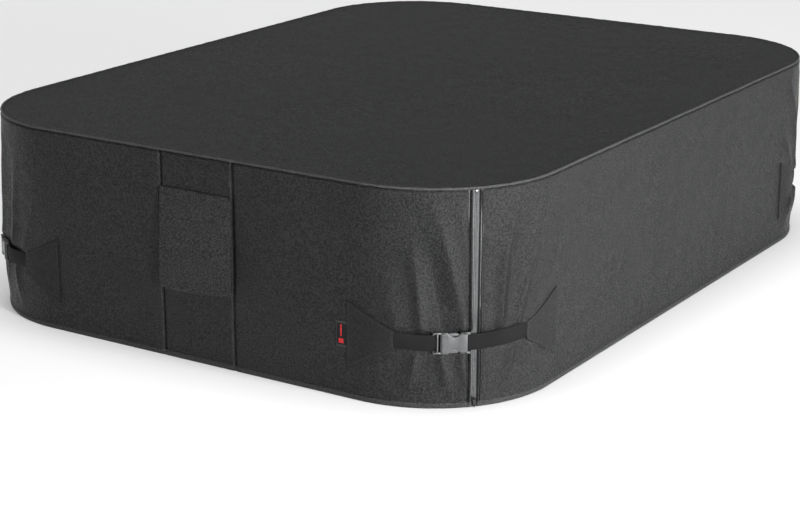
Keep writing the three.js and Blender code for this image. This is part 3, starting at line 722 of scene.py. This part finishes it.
def add_hem():
    s = refine(ZIP_RIGHT, PERIMETER + ZIP_LEFT, lambda v: max(2.5 * MM, skirt_spacing(v)))
    z = np.linspace(0, HEM_HEIGHT, 9)
    thick = lambda s, z: 3.0 * MM - 1.6 * MM * (2 * z / HEM_HEIGHT - 1) ** 4
    hem = wrapped_sheet("hem_cloth", s, z, hem_face, EDGE_CLOTH, thick)
    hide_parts("hem_band")
    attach(hem, "cover")
    row = refine(ZIP_RIGHT + 4 * MM, PERIMETER + ZIP_LEFT - 4 * MM, lambda v: 6 * MM)
    face = lambda s, z: hem_face(s, z) + 0.1 * MM
    stitch_row("hem_stitches", row, 11 * MM, face, "cover", "edge_binding")


def add_rim():
    s = refine(0, PERIMETER, lambda v: max(4 * MM, min(skirt_spacing(v), 9 * MM)))[:-1]
    sides = 12
    angle = 2 * math.pi * np.arange(sides + 1) / sides
    grid_s, grid_a = np.meshgrid(s, angle)
    radius = PIPING_RADIUS * (1 + 0.07 * waves(grid_s, grid_a * 0.002, 31, 0.012, 0.06))
    wander = 0.35 * MM * waves(s, s * 0, 32, 0.05, 0.4)
    offset = -PIPING_RADIUS + wander + radius * np.cos(grid_a)
    z = HEIGHT - PIPING_RADIUS + radius * np.sin(grid_a)
    points = place(grid_s, offset, z)[:-1]
    rows, cols = points.shape[:2]
    index = np.arange(rows * cols).reshape(rows, cols)
    right, up = np.roll(index, -1, 1), np.roll(index, -1, 0)
    faces = np.stack([index, right, np.roll(right, -1, 0), up], -1).reshape(-1, 4)
    uv = np.stack([grid_s, grid_a * PIPING_RADIUS], -1)[:-1].reshape(-1, 2)
    # The piping's lighter cloth carries a painted highlight along the rim.
    rim = make_object("rim_piping_cloth", points.reshape(-1, 3), faces, uv, RIM_CLOTH_PAINTED_HIGHLIGHT, 60)
    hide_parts("rim_piping")
    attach(rim, "cover")
    row = refine(0, PERIMETER, lambda v: 8 * MM)[:-1]
    row = row[(np.abs(row - ZIP_POSITION) > 14 * MM)]
    stitch_row("rim_stitches", row, SKIRT_TOP - 7 * MM, skirt_face, "cover", "edge_binding")


def top_height(x, y):
    """The top lies on the lid: nearly flat, with soft swells and the creases of a folded cloth."""
    z = 0.9 * MM * waves(x, y, 41, 0.25, 1.4) + 0.22 * MM * waves(x, y, 42, 0.04, 0.16)
    rng = np.random.default_rng(43)
    for _ in range(16):
        angle = rng.choice([0, math.pi / 2]) + rng.normal(0, 0.22)
        across = (x * math.cos(angle) + y * math.sin(angle)) - rng.uniform(-0.9, 0.9)
        across = across + 0.02 * np.sin(4 * (y * math.cos(angle) - x * math.sin(angle)) + rng.uniform(0, 6))
        along = (y * math.cos(angle) - x * math.sin(angle)) - rng.uniform(-0.7, 0.7)
        z = z + rng.uniform(-0.9, 1.1) * MM * bump(across, 14 * MM) * bump(along, rng.uniform(0.25, 0.6))
    return z


def add_top():
    low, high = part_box("top_panel")
    inset = 5.6 * MM
    radius = CORNER_RADIUS - inset
    half_x, half_y = WIDTH / 2 - inset, LENGTH / 2 - inset
    arc = np.linspace(0, math.pi / 2, 34)
    end = half_y - radius + radius * np.sin(arc)
    flat = np.linspace(-(half_y - radius), half_y - radius, 120)
    y = np.concatenate([-end[::-1], flat[1:-1], end])
    past = np.clip(np.abs(y) - (half_y - radius), 0, radius)
    reach = half_x - radius + np.sqrt(np.maximum(radius**2 - past**2, 0))
    u = np.linspace(-1, 1, 131)
    u = np.sign(u) * (1 - (1 - np.abs(u)) ** 1.08)
    grid_y, grid_u = np.meshgrid(y, u, indexing="ij")
    grid_x = grid_u * reach[:, None]
    corner_x = np.maximum(np.abs(grid_x) - (half_x - radius), 0)
    corner_y = np.maximum(np.abs(grid_y) - (half_y - radius), 0)
    edge = radius - np.hypot(corner_x, corner_y)
    middle = (low.z + high.z) / 2
    quiet = step(0, 60 * MM, edge)
    z = middle + 0.9 * MM + top_height(grid_x, grid_y) * quiet
    z += 1.5 * MM * bump(edge - 8 * MM, 7 * MM) - 1.6 * MM * bump(edge, 3 * MM)
    outer = np.stack([grid_x, grid_y, z], -1)
    inner = outer - np.array([0, 0, CLOTH])
    uv = np.stack([grid_x, grid_y], -1)
    top = shell("top_cloth", outer, inner, uv, COVER_CLOTH)
    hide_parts("top_panel")
    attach(top, "cover")


# ---- Vents ----

# How far below the skirt's top the strip's edge hangs, in mm, at shares of the vent's width
SAG_AT = [0, 0.17, 0.33, 0.5, 0.69, 0.85, 1]
SAG = [9, 10.4, 10.8, 9.4, 6.6, 3.6, 1.2]


def vent_step(across, z):
    """The panel hangs a little behind the strip that it is sewn to, whose edge sags below the rim."""
    edge = SKIRT_TOP - np.interp(across, SAG_AT, SAG) * MM
    below = step(edge + 0.7 * MM, edge - 0.7 * MM, z)
    return 0.5 * MM - below * (1.0 * MM + 2.0 * MM * step(edge - 26 * MM, edge, z))


def add_vent(end, start):
    left, right = start + VENT_LEFT, start + VENT_RIGHT
    middle = start + VENT_MIDDLE
    node_low, node_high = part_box(end + "_vent_mesh")
    margin = 12 * MM
    window_low, window_high = node_low.z + margin, node_high.z - margin
    window_half = (node_high.x - node_low.x) / 2 - margin
    edges = (left, right, middle - window_half, middle + window_half)

    def spacing(s):
        return 1.0 * MM if min(abs(s - e) for e in edges[:2]) < 12 * MM else 5 * MM

    s = np.concatenate([
        refine(left, edges[2], spacing),
        refine(edges[2], edges[3], spacing)[1:],
        refine(edges[3], right, spacing)[1:],
    ])
    z = np.concatenate([
        height_steps(SKIRT_BOTTOM - 2 * MM, window_low),
        height_steps(window_low, window_high)[1:],
        height_steps(window_high, SKIRT_TOP - 22 * MM)[1:],
        np.linspace(SKIRT_TOP - 22 * MM, SKIRT_TOP, 19)[1:],
    ])
    mid_s, mid_z = (s[1:] + s[:-1]) / 2, (z[1:] + z[:-1]) / 2
    beside = np.abs(mid_s - middle) < window_half
    level = (mid_z > window_low) & (mid_z < window_high)
    in_window = beside[None] & level[:, None]
    face = lambda s, z: skirt_face(s, z) + vent_step((s - left) / (right - left), z)
    panel = wrapped_sheet(end + "_vent_panel_cloth", s, z, face, COVER_CLOTH, mask=~in_window)
    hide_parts(end + "_vent_panel")
    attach(panel, "cover")
    add_net(end, middle, node_low, node_high)
    add_flap(end, start)
    for name, edge, way in (("left", left, -1), ("right", right, 1)):
        for row, away in (("outer", 5 * MM), ("inner", -5 * MM)):
            place_s = edge + way * away
            rows = np.linspace(SKIRT_BOTTOM + 4 * MM, SKIRT_TOP - 8 * MM, 80)
            lift = skirt_face if away > 0 else face
            row_name = f"{end}_vent_{name}_{row}_stitches"
            stitch_row(row_name, place_s, rows, lift, "cover", "cover_cloth")
    loop_s, loop_z = rectangle_path(middle, window_half + 5 * MM, window_low - 5 * MM, window_high + 5 * MM)
    stitch_row(end + "_window_stitches", loop_s, loop_z, face, "cover", "cover_cloth")


def rectangle_path(middle, half, low, high):
    """Places round a rectangle on the skirt, from its low left corner."""
    t = np.linspace(0, 1, 40)
    still = np.ones(40)
    wide, tall = 2 * half * t, (high - low) * t
    left, right = middle - half, middle + half
    s = np.concatenate([left + wide, right * still, right - wide, left * still])
    z = np.concatenate([low * still, low + tall, high * still, high - tall])
    keep = np.concatenate([[True], (np.diff(s) != 0) | (np.diff(z) != 0)])
    return s[keep], z[keep]


def add_net(end, middle, low, high):
    """Open knitted mesh behind the window: strands with square holes between them."""
    strand, hole = 1.3 * MM, 2.5 * MM
    half = (high.x - low.x) / 2

    def lines(from_, to):
        count = int((to - from_ - strand) / (strand + hole))
        pitch = (to - from_ - strand) / count
        starts = from_ + pitch * np.arange(count + 1)
        return np.sort(np.concatenate([starts, starts + strand]))

    s, z = lines(middle - half, middle + half), lines(low.z, high.z)
    open_s = np.arange(len(s) - 1) % 2 == 1
    open_z = np.arange(len(z) - 1) % 2 == 1
    mask = ~(open_s[None] & open_z[:, None])
    level = -2.9 * MM
    turn = math.pi / (strand + hole)
    over = lambda s, z: level + 0.25 * MM * np.sin(s * turn) * np.sin(z * turn)
    net = wrapped_sheet(end + "_vent_net", s, z, over, NET_CLOTH, 0.7 * MM, mask)
    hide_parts(end + "_vent_mesh")
    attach(net, "cover")


def add_flap(end, start):
    node_low, node_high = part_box(end + "_vent_flap")
    middle = start + VENT_MIDDLE
    half = (node_high.x - node_low.x) / 2
    top = node_high.z
    tall = node_high.z - node_low.z
    across = np.linspace(-1, 1, 61)
    down = 1 - np.linspace(0, 1, 71)
    across, down = np.meshgrid(across, down)
    lower = tall - 5.5 * MM - 5 * MM * across + 4 * MM * (1 - across**2)
    ripple = 0.8 * MM * waves(across * half, down * tall, 51, 0.1, 0.4)
    z = top - down * lower + ripple * step(0.7, 1.0, down)
    s = middle + across * half * (1 + 0.012 * down)
    swell = 0.78 + 0.3 * (1 - across**2)
    lift = 2.0 * MM + 12.5 * MM * down * (2 - down) * swell
    lift += 0.8 * MM * waves(across * half, down * tall, 52, 0.06, 0.3) * step(0, 0.3, down)
    fold = 11 * MM
    edge = np.minimum((1 - np.abs(across)) * half, (1 - down) * lower)
    doubled = step(fold + 1.5 * MM, fold - 1.5 * MM, edge)
    lift += 0.7 * MM * doubled - 0.5 * MM * bump(edge - fold - 1 * MM, 2.5 * MM)
    lift += 1.1 * MM * step(16 * MM, 9 * MM, down * lower) - 1.6 * MM * bump(down * lower, 2.5 * MM)
    thick = 1.5 * MM + 0.8 * MM * doubled
    uv = np.stack([s, z], -1)
    # The flap's lighter cloth is painted light that sets it off from the panel beneath.
    flap = shell(end + "_vent_flap_cloth", place(s, lift, z), place(s, lift - thick, z), uv, FLAP_CLOTH_PAINTED_LIGHT)
    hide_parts(end + "_vent_flap")
    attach(flap, end + "_flap")

    from_edge = fold - 2.5 * MM
    side = 1 - from_edge / half
    foot = 1 - from_edge / tall
    t = np.linspace(0, 1, 60)
    path_across = np.concatenate([np.full(60, -side), -side + 2 * side * t, np.full(60, side)])
    path_down = np.concatenate([0.05 + (foot - 0.05) * t, np.full(60, foot), foot - (foot - 0.05) * t])
    flap_stitches(end, "hem", path_across, path_down, s, lift, z)
    for row, at in (("upper", 5 * MM), ("lower", 11 * MM)):
        flap_stitches(end, row, -0.985 + 1.97 * t, np.full(60, at / tall), s, lift, z)


def flap_stitches(end, row, path_across, path_down, s, lift, z):
    """Stitches on the flap's own grid of places, whose rows run from its foot up to its sewn edge."""
    rows, cols = s.shape
    r = (1 - path_down) * (rows - 1)
    c = (path_across + 1) / 2 * (cols - 1)
    r0, c0 = np.clip(r.astype(int), 0, rows - 2), np.clip(c.astype(int), 0, cols - 2)
    fr, fc = r - r0, c - c0

    def read(grid):
        low = grid[r0, c0] * (1 - fc) + grid[r0, c0 + 1] * fc
        high = grid[r0 + 1, c0] * (1 - fc) + grid[r0 + 1, c0 + 1] * fc
        return low * (1 - fr) + high * fr

    keep = np.concatenate([[True], (np.diff(path_across) != 0) | (np.diff(path_down) != 0)])
    at_s, at_lift, at_z = read(s)[keep], read(lift)[keep], read(z)[keep]
    name = f"{end}_flap_{row}_stitches"
    stitch_row(name, at_s, at_z, lambda s_, z_: at_lift, end + "_flap", "patch_cloth")


# ---- Zip ----

def add_zip():
    for side, sign in (("left", -1), ("right", 1)):
        low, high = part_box("zip_tape_" + side)
        near, far = 0.8 * MM, 20.5 * MM
        ends = sorted((ZIP_POSITION + sign * near, ZIP_POSITION + sign * far))
        z = np.linspace(low.z, high.z, 70)
        s = np.linspace(*ends, 14)
        face = lambda s, z: -3.2 * MM + 0.3 * MM * step(3.4 * MM, 4.6 * MM, np.abs(s - ZIP_POSITION))
        tape = wrapped_sheet("zip_tape_" + side + "_cloth", s, z, face, TAPE_CLOTH, 0.7 * MM)
        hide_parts("zip_tape_" + side)
        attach(tape, "cover")
        add_coil(side, sign)
    add_zip_stitches()
    add_hard_copy("zip_top_stop", "cover", STOP_METAL, 0.5 * MM)
    add_hard_copy("zip_slider", "zip_slider", ZIP_METAL, 0.28 * MM)
    add_hard_copy("zip_pull", "zip_pull", ZIP_METAL, 0.28 * MM)


def add_coil(side, sign):
    """One half of the zip's teeth: a wound coil, whose turns lie between those of the other half."""
    low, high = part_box("zip_coil_" + side)
    pitch = 1.7 * MM
    turns = int((high.z - low.z) / pitch)
    per_turn = 8
    t = np.arange(turns * per_turn + 1) / per_turn
    angle = 2 * math.pi * t
    reach = 2.15 * MM
    s = ZIP_POSITION + sign * (1.55 * MM - reach * np.cos(angle) * 0.92)
    offset = -2.35 * MM + 0.62 * MM * np.sin(angle)
    z = low.z + 0.5 * MM + (0.5 * pitch if sign > 0 else 0) + t * pitch * (turns - 1) / turns
    centre = place(s, offset, z)
    tube = tube_mesh("zip_coil_" + side + "_teeth", centre, 0.42 * MM, 5, COIL)
    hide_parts("zip_coil_" + side)
    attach(tube, "cover")


def tube_mesh(name, centre, radius, sides, material):
    """A round cord along a line of points, with flat ends."""
    tangent = np.gradient(centre, axis=0)
    tangent /= np.linalg.norm(tangent, axis=1, keepdims=True)
    reference = np.array([0.31, 0.47, 0.83])
    first = np.cross(tangent, reference)
    first /= np.linalg.norm(first, axis=1, keepdims=True)
    second = np.cross(tangent, first)
    angle = 2 * math.pi * np.arange(sides) / sides
    ring = first[:, None] * np.cos(angle)[None, :, None] + second[:, None] * np.sin(angle)[None, :, None]
    verts = (centre[:, None] + ring * radius).reshape(-1, 3)
    index = np.arange(len(centre) * sides).reshape(-1, sides)
    around = np.roll(index, -1, 1)
    faces = np.stack([index[:-1], around[:-1], around[1:], index[1:]], -1).reshape(-1, 4).tolist()
    faces.append(index[0].tolist()[::-1])
    faces.append(index[-1].tolist())
    return smooth_object(name, verts, faces, material)


def add_zip_stitches():
    z = np.linspace(SKIRT_BOTTOM + 2 * MM, SKIRT_TOP - 4 * MM, 90)
    rows = {
        "left": ZIP_LEFT - 9.6 * MM,
        "right_inner": ZIP_RIGHT + 5.6 * MM,
        "right_outer": ZIP_RIGHT + 11.4 * MM,
    }
    size = {"pitch": 3.6 * MM, "length": 2.8 * MM}
    for name, s in rows.items():
        stitch_row(f"zip_{name}_stitches", s, z, skirt_face, "cover", "cover_cloth", **size)


# ---- Hard pieces: the CAD shape with softened edges ----

def add_hard_copy(name, body, material, radius):
    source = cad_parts[name]
    mesh = bmesh.new()
    mesh.from_mesh(source.data)
    bmesh.ops.remove_doubles(mesh, verts=mesh.verts, dist=0.02 * MM)
    bmesh.ops.dissolve_limit(mesh, angle_limit=math.radians(1.5), verts=mesh.verts, edges=mesh.edges)
    data = bpy.data.meshes.new(name + "_part")
    mesh.to_mesh(data)
    mesh.free()
    obj = link(name + "_part", data)
    data.materials.clear()
    data.materials.append(material)
    soften = obj.modifiers.new("soften", "BEVEL")
    soften.width = radius
    soften.segments = 3
    soften.limit_method = "ANGLE"
    soften.angle_limit = math.radians(35)
    soften.use_clamp_overlap = True
    bpy.context.view_layer.objects.active = obj
    bpy.ops.object.modifier_apply(modifier=soften.name)
    obj.data.shade_smooth()
    obj.data.set_sharp_from_angle(angle=math.radians(50))
    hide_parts(name)
    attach(obj, body)


# ---- Corner patches, straps and buckles ----

# Distance to a patch's sloping edge, as a share of the height to it
EDGE_SLOPE = 0.86


def patch_lift(d, z):
    """Outer face of a patch, raised where the strap's tail is sewn under it."""
    tail = step(34 * MM, 10 * MM, np.abs(z - CLASP_HEIGHT))
    tail = tail * step(PATCH_TIP + 100 * MM, PATCH_TIP, np.abs(d))
    return 2.8 * MM + 0.8 * MM * tail


def add_patch(corner, middle, sign, which):
    towards = sign if which == "side" else -sign
    share = np.linspace(0, 1, 46)
    rise = np.linspace(0, 1, 49)
    share, rise = np.meshgrid(share, rise)
    d = PATCH_TIP + share * (PATCH_REACH - PATCH_TIP)
    s = middle + towards * d
    low, high = patch_edges(d)
    z = low + (high - low) * rise
    edge = np.minimum.reduce([
        share * (PATCH_REACH - PATCH_TIP),
        (1 - share) * (PATCH_REACH - PATCH_TIP),
        rise * (high - low) * EDGE_SLOPE,
        (1 - rise) * (high - low) * EDGE_SLOPE,
    ])
    lift = cloth_lift(s, z) + patch_lift(d, z)
    lift += 1.0 * MM * step(0, 1.8 * MM, edge) - 1.0 * MM - 0.5 * MM * bump(edge - 5 * MM, 1.2 * MM)
    lift += 0.25 * MM * waves(s, z, 61, 0.03, 0.1) * step(4 * MM, 14 * MM, edge)
    thick = 2.0 * MM
    uv = np.stack([s, z], -1)
    name = f"{corner}_patch_{which}"
    obj = shell(name + "_cloth", place(s, lift, z), place(s, lift - thick, z), uv, PATCH_CLOTH)
    if towards < 0:
        face_outwards(obj)
    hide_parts(name)
    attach(obj, "cover")
    add_patch_stitches(name, middle, towards)


def add_patch_stitches(name, middle, towards):
    inset = 5 * MM
    near, far = PATCH_TIP + inset, PATCH_REACH - inset
    low_n, high_n = (float(v) for v in patch_edges(near))
    low_f, high_f = (float(v) for v in patch_edges(far))
    wide_inset = 1.3 * inset
    corners = [
        (near, low_n + inset),
        (far, low_f + wide_inset),
        (far, high_f - wide_inset),
        (near, high_n - inset),
        (near, low_n + inset),
    ]
    t = np.linspace(0, 1, 40)[:-1]
    d = np.concatenate([a[0] + (b[0] - a[0]) * t for a, b in zip(corners, corners[1:])])
    z = np.concatenate([a[1] + (b[1] - a[1]) * t for a, b in zip(corners, corners[1:])])
    face = lambda s, z_: cloth_lift(s, z_) + patch_lift((s - middle) * towards, z_) - 0.4 * MM
    stitch_row(name + "_edge_stitches", middle + towards * d, z, face, "cover", "patch_cloth")


def buckle_place(middle, sign, x, z):
    """Along the outline, and off it, for a point in the buckle's own frame."""
    height = CORNER_RADIUS + BUCKLE_LIFT + z
    s = middle - sign * CLASP_SHIFT + sign * CORNER_RADIUS * math.atan2(x, height)
    return s, math.hypot(x, height) - CORNER_RADIUS


def smooth_path(points, spacing=1.8 * MM, rounds=3):
    """Rounds off the corners of a line, then spaces its points evenly."""
    line = np.array(points, float)
    for _ in range(rounds):
        a = line[:-1] * 0.75 + line[1:] * 0.25
        b = line[:-1] * 0.25 + line[1:] * 0.75
        line = np.concatenate([line[:1], np.stack([a, b], 1).reshape(-1, 2), line[-1:]])
    travelled = np.concatenate([[0], np.cumsum(np.linalg.norm(np.diff(line, axis=0), axis=1))])
    even = np.linspace(0, travelled[-1], max(8, int(travelled[-1] / spacing)))
    return np.stack([np.interp(even, travelled, line[:, i]) for i in (0, 1)], -1), even


def ribbon(name, points, drift=None):
    """A flat strap along a line of (place, offset) points, with thinner rounded selvedges."""
    line, travelled = smooth_path(points)
    tangent = np.gradient(line, axis=0)
    tangent /= np.linalg.norm(tangent, axis=1, keepdims=True)
    normal = np.stack([-tangent[:, 1], tangent[:, 0]], -1) * np.sign(tangent[0, 0])
    across = np.array([-1, -0.97, -0.88, -0.6, -0.3, 0, 0.3, 0.6, 0.88, 0.97, 1])
    half = WEBBING / 2 * (1 - 0.55 * np.abs(across) ** 14)
    level = CLASP_HEIGHT + (drift(line[:, 0]) if drift else 0)
    z = level + across[:, None] * WEBBING_WIDTH / 2 + np.zeros(len(line))[None]
    cup = -1.7 * MM * across[:, None] ** 2
    outer = [line[None, :, i] + normal[None, :, i] * (half[:, None] + cup) for i in (0, 1)]
    inner = [line[None, :, i] + normal[None, :, i] * (cup - half[:, None]) for i in (0, 1)]
    uv = np.stack([np.broadcast_to(travelled, z.shape), z], -1)
    obj = shell(name, place(*outer, z), place(*inner, z), uv, STRAP_WEB, sharp=60)
    return face_outwards(obj)


def add_fixed_strap(corner, middle, sign):
    """Sewn under the side patch, over the zip, and round the socket's bar, back on itself."""
    upper = lambda d: 11.1 * MM - 9.8 * MM * float(step(14 * MM, PATCH_TIP + 8 * MM, d * MM))
    at = lambda d, under=0.0: (middle + sign * d * MM, upper(d) - under * MM)
    points = [at(d) for d in (231, 210, 190, 172, 155, 135, 115, 95, 75, 55, 38, 24, 14)]
    local = [(44, 0.8), (40, 0.6), (36, 0.4), (33.4, -1.2), (33.4, -4.6), (35.4, -6.3), (40, -6.2)]
    points += [buckle_place(middle, sign, x * MM, z * MM) for x, z in local]
    points += [at(d, 2.5) for d in (14, 28, 44)]
    strap = ribbon(corner + "_strap_fixed_web", points, drift=strap_drift(middle, sign))
    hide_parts(corner + "_strap_fixed")
    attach(strap, "cover")


def strap_drift(middle, sign):
    """The strap climbs a little towards the side patch."""
    return lambda s: 2.5 * MM * step(20 * MM, 170 * MM, (s - middle) * sign)


def add_adjusting_strap(corner, middle, sign):
    """Sewn under the end patch, through the insert's ladder, and back under itself."""
    lift = lambda d: 1.3 * MM + 10.2 * MM * float(step(PATCH_TIP + 4 * MM, 90 * MM, d * MM))
    at = lambda d, under=0.0: (middle - sign * d * MM, lift(d) - under * MM)
    points = [at(d) for d in (231, 210, 190, 172, 155, 138, 120, 104, 95)]
    local = [(-46, 0.2), (-42, 0.1), (-38, 0.1), (-33, 0.2), (-29, 0.0)]
    local += [(-27.4, -1.2), (-27.4, -3.8), (-29.4, -5.4), (-38, -5.7)]
    points += [buckle_place(middle, sign, x * MM, z * MM) for x, z in local]
    points += [at(d, under) for d, under in ((92, 4.0), (104, 2.8), (116, 2.6))]
    strap = ribbon(corner + "_strap_adjusting_web", points)
    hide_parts(corner + "_strap_adjusting", corner + "_strap_bight")
    start = place(middle - sign * PATCH_TIP, 0, CLASP_HEIGHT)
    s, off = buckle_place(middle, sign, -50 * MM, 0)
    tuple(place(s, off, CLASP_HEIGHT))
    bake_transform(strap)


# ---- Buckle, in its own frame in mm: x along the strap to the socket's bar, y across, z outwards ----

SOCKET_MOUTH = -21
RAIL_END = 47.5
INSERT_END = -42
SHOULDER = -21.4
PRONG_ROOT = -20.6


def prism(mesh, outline_, low, high, radius, steps=3):
    """A flat solid with rounded edges. The outline runs anticlockwise."""
    points = np.array(outline_, float)
    edge = np.roll(points, -1, 0) - points
    edge /= np.linalg.norm(edge, axis=1, keepdims=True)
    out = np.stack([edge[:, 1], -edge[:, 0]], -1)
    before = np.roll(out, 1, 0)
    mitre = (out + before) / (1 + (out * before).sum(1, keepdims=True))
    turns = [math.pi / 2 * k / steps for k in range(steps + 1)]
    rings = [(radius * (1 - math.sin(a)), low + radius * (1 - math.cos(a))) for a in turns]
    rings += [(radius * (1 - math.cos(a)), high - radius * (1 - math.sin(a))) for a in turns]
    loops = []
    for inset, z in rings:
        loops.append([mesh.verts.new((x, y, z)) for x, y in points - mitre * inset])
    for lower, upper in zip(loops, loops[1:]):
        for i in range(len(points)):
            j = (i + 1) % len(points)
            mesh.faces.new((lower[i], lower[j], upper[j], upper[i]))
    mesh.faces.new(loops[0][::-1])
    mesh.faces.new(loops[-1])


def block(x0, x1, y0, y1):
    return [(x0, y0), (x1, y0), (x1, y1), (x0, y1)]


def plate_outline(x0, x1):
    """The socket's face, with a finger window cut into each side."""
    half = BUCKLE_WIDTH / 2
    radius = (WINDOW_HALF**2 + WINDOW_DEPTH**2) / (2 * WINDOW_DEPTH)
    centre = half - WINDOW_DEPTH + radius
    spread_ = math.asin(WINDOW_HALF / radius)
    angles = np.linspace(spread_, -spread_, 22)
    lower = [(WINDOW_CENTRE - radius * math.sin(a), -centre + radius * math.cos(a)) for a in angles]
    upper = [(WINDOW_CENTRE - radius * math.sin(a), centre - radius * math.cos(a)) for a in angles[::-1]]
    corner = 2.5
    low_left = [(x0, -half + corner), (x0 + 0.7, -half + 0.7), (x0 + corner, -half)]
    high_left = [(x0 + corner, half), (x0 + 0.7, half - 0.7), (x0, half - corner)]
    return low_left + lower + [(x1, -half), (x1, half)] + upper + high_left


def socket_solids(mesh):
    half, wall, top = BUCKLE_WIDTH / 2, 2.5, 6.5
    prism(mesh, plate_outline(SOCKET_MOUTH, 40.5), top - wall, top, 0.9)
    prism(mesh, plate_outline(SOCKET_MOUTH, 30.5), -top, -top + wall, 0.9)
    window_from, window_to = WINDOW_CENTRE - WINDOW_HALF, WINDOW_CENTRE + WINDOW_HALF
    for side in (-1, 1):
        wall_y = sorted((side * (half - 3), side * half))
        rail_y = sorted((side * (half - 5), side * half))
        prism(mesh, block(-20.6, window_from, *wall_y), -top, top, 0.8)
        prism(mesh, block(window_to, RAIL_END, *rail_y), -top, top, 0.9)
    prism(mesh, block(28, 30.5, -half + 3, half - 3), -4.5, 4.5, 0.3)
    prism(mesh, block(35, 39, -half + 4, half - 4), -5, -1, 1.2)


def insert_solids(mesh):
    half = BUCKLE_WIDTH / 2
    for side in (-1, 1):
        rail = sorted((side * (half - 4), side * half))
        prism(mesh, block(INSERT_END, SHOULDER, *rail), -4, 4, 1.3)
    prism(mesh, block(INSERT_END, -39, -half + 1, half - 1), -4, -1, 0.9)
    prism(mesh, block(-33, -29.5, -half + 1, half - 1), 1.4, 4, 1.1)
    prism(mesh, block(-23.6, SHOULDER, -half + 1, half - 1), -4, 4, 0.6)
    prism(mesh, block(-22.2, 22.6, -4, 4), -2.5, 2.5, 0.8)


def prong_solids(side):
    def build(mesh):
        shape = [(PRONG_ROOT, 16.8), (26, 17.8), (26, 19.2), (14.6, 24.9)]
        shape += [(-3.4, 24.9), (-5.4, 20.2), (PRONG_ROOT, 20.2)]
        if side < 0:
            shape = [(x, -y) for x, y in shape[::-1]]
        prism(mesh, shape, -3.3, 3.3, 0.6)
    return build


def add_buckle_piece(name, middle, sign, body, build):
    mesh = bmesh.new()
    build(mesh)
    s = middle - sign * CLASP_SHIFT
    x, y, nx, ny = (float(v) for v in outline(s))
    along = Vector((-ny, nx, 0)) * sign
    outward = Vector((nx, ny, 0))
    across = Vector((0, 0, sign))
    turn = Matrix((along, across, outward)).transposed().to_4x4()
    where = Vector((x, y, CLASP_HEIGHT)) + outward * BUCKLE_LIFT
    mesh.transform(Matrix.Translation(where) @ turn @ Matrix.Diagonal((MM, MM, MM, 1)))
    data = bpy.data.meshes.new(name + "_part")
    mesh.to_mesh(data)
    mesh.free()
    data.shade_smooth()
    data.set_sharp_from_angle(angle=math.radians(45))
    data.materials.append(BUCKLE)
    obj = link(name + "_part", data)
    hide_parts(name)
    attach(obj, body)


def add_corner(corner, middle, sign):
    for which in ("end", "side"):
        add_patch(corner, middle, sign, which)
    add_fixed_strap(corner, middle, sign)
    add_adjusting_strap(corner, middle, sign)
    add_buckle_piece(corner + "_buckle_socket", middle, sign, "cover", socket_solids)
    add_buckle_piece(corner + "_buckle_insert", middle, sign, corner + "_insert", insert_solids)
    for side in (1, -1):
        prong = f"{corner}_prong_" + ("upper" if side * sign > 0 else "lower")
        add_buckle_piece(prong, middle, sign, prong, prong_solids(side))


def add_label():
    s = np.linspace(LABEL_EDGE, LABEL_EDGE + 43 * MM, 30)
    low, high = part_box("side_label")
    z = np.linspace(low.z, high.z, 36)

    def face(s, z):
        curl = 0.8 * MM * bump(s - LABEL_EDGE, 9 * MM)
        return np.maximum(cloth_lift(s, z), -0.4 * MM) + 1.0 * MM + curl

    label = wrapped_sheet("side_label_cloth", s, z, face, LABEL, 0.6 * MM)
    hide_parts("side_label")
    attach(label, "cover")


add_camera()
add_studio()
add_skirt()
add_hem()
add_rim()
add_top()
for end, start in ENDS:
    add_vent(end, start)
add_zip()
for corner, middle, sign in CORNERS:
    add_corner(corner, middle, sign)
add_label()
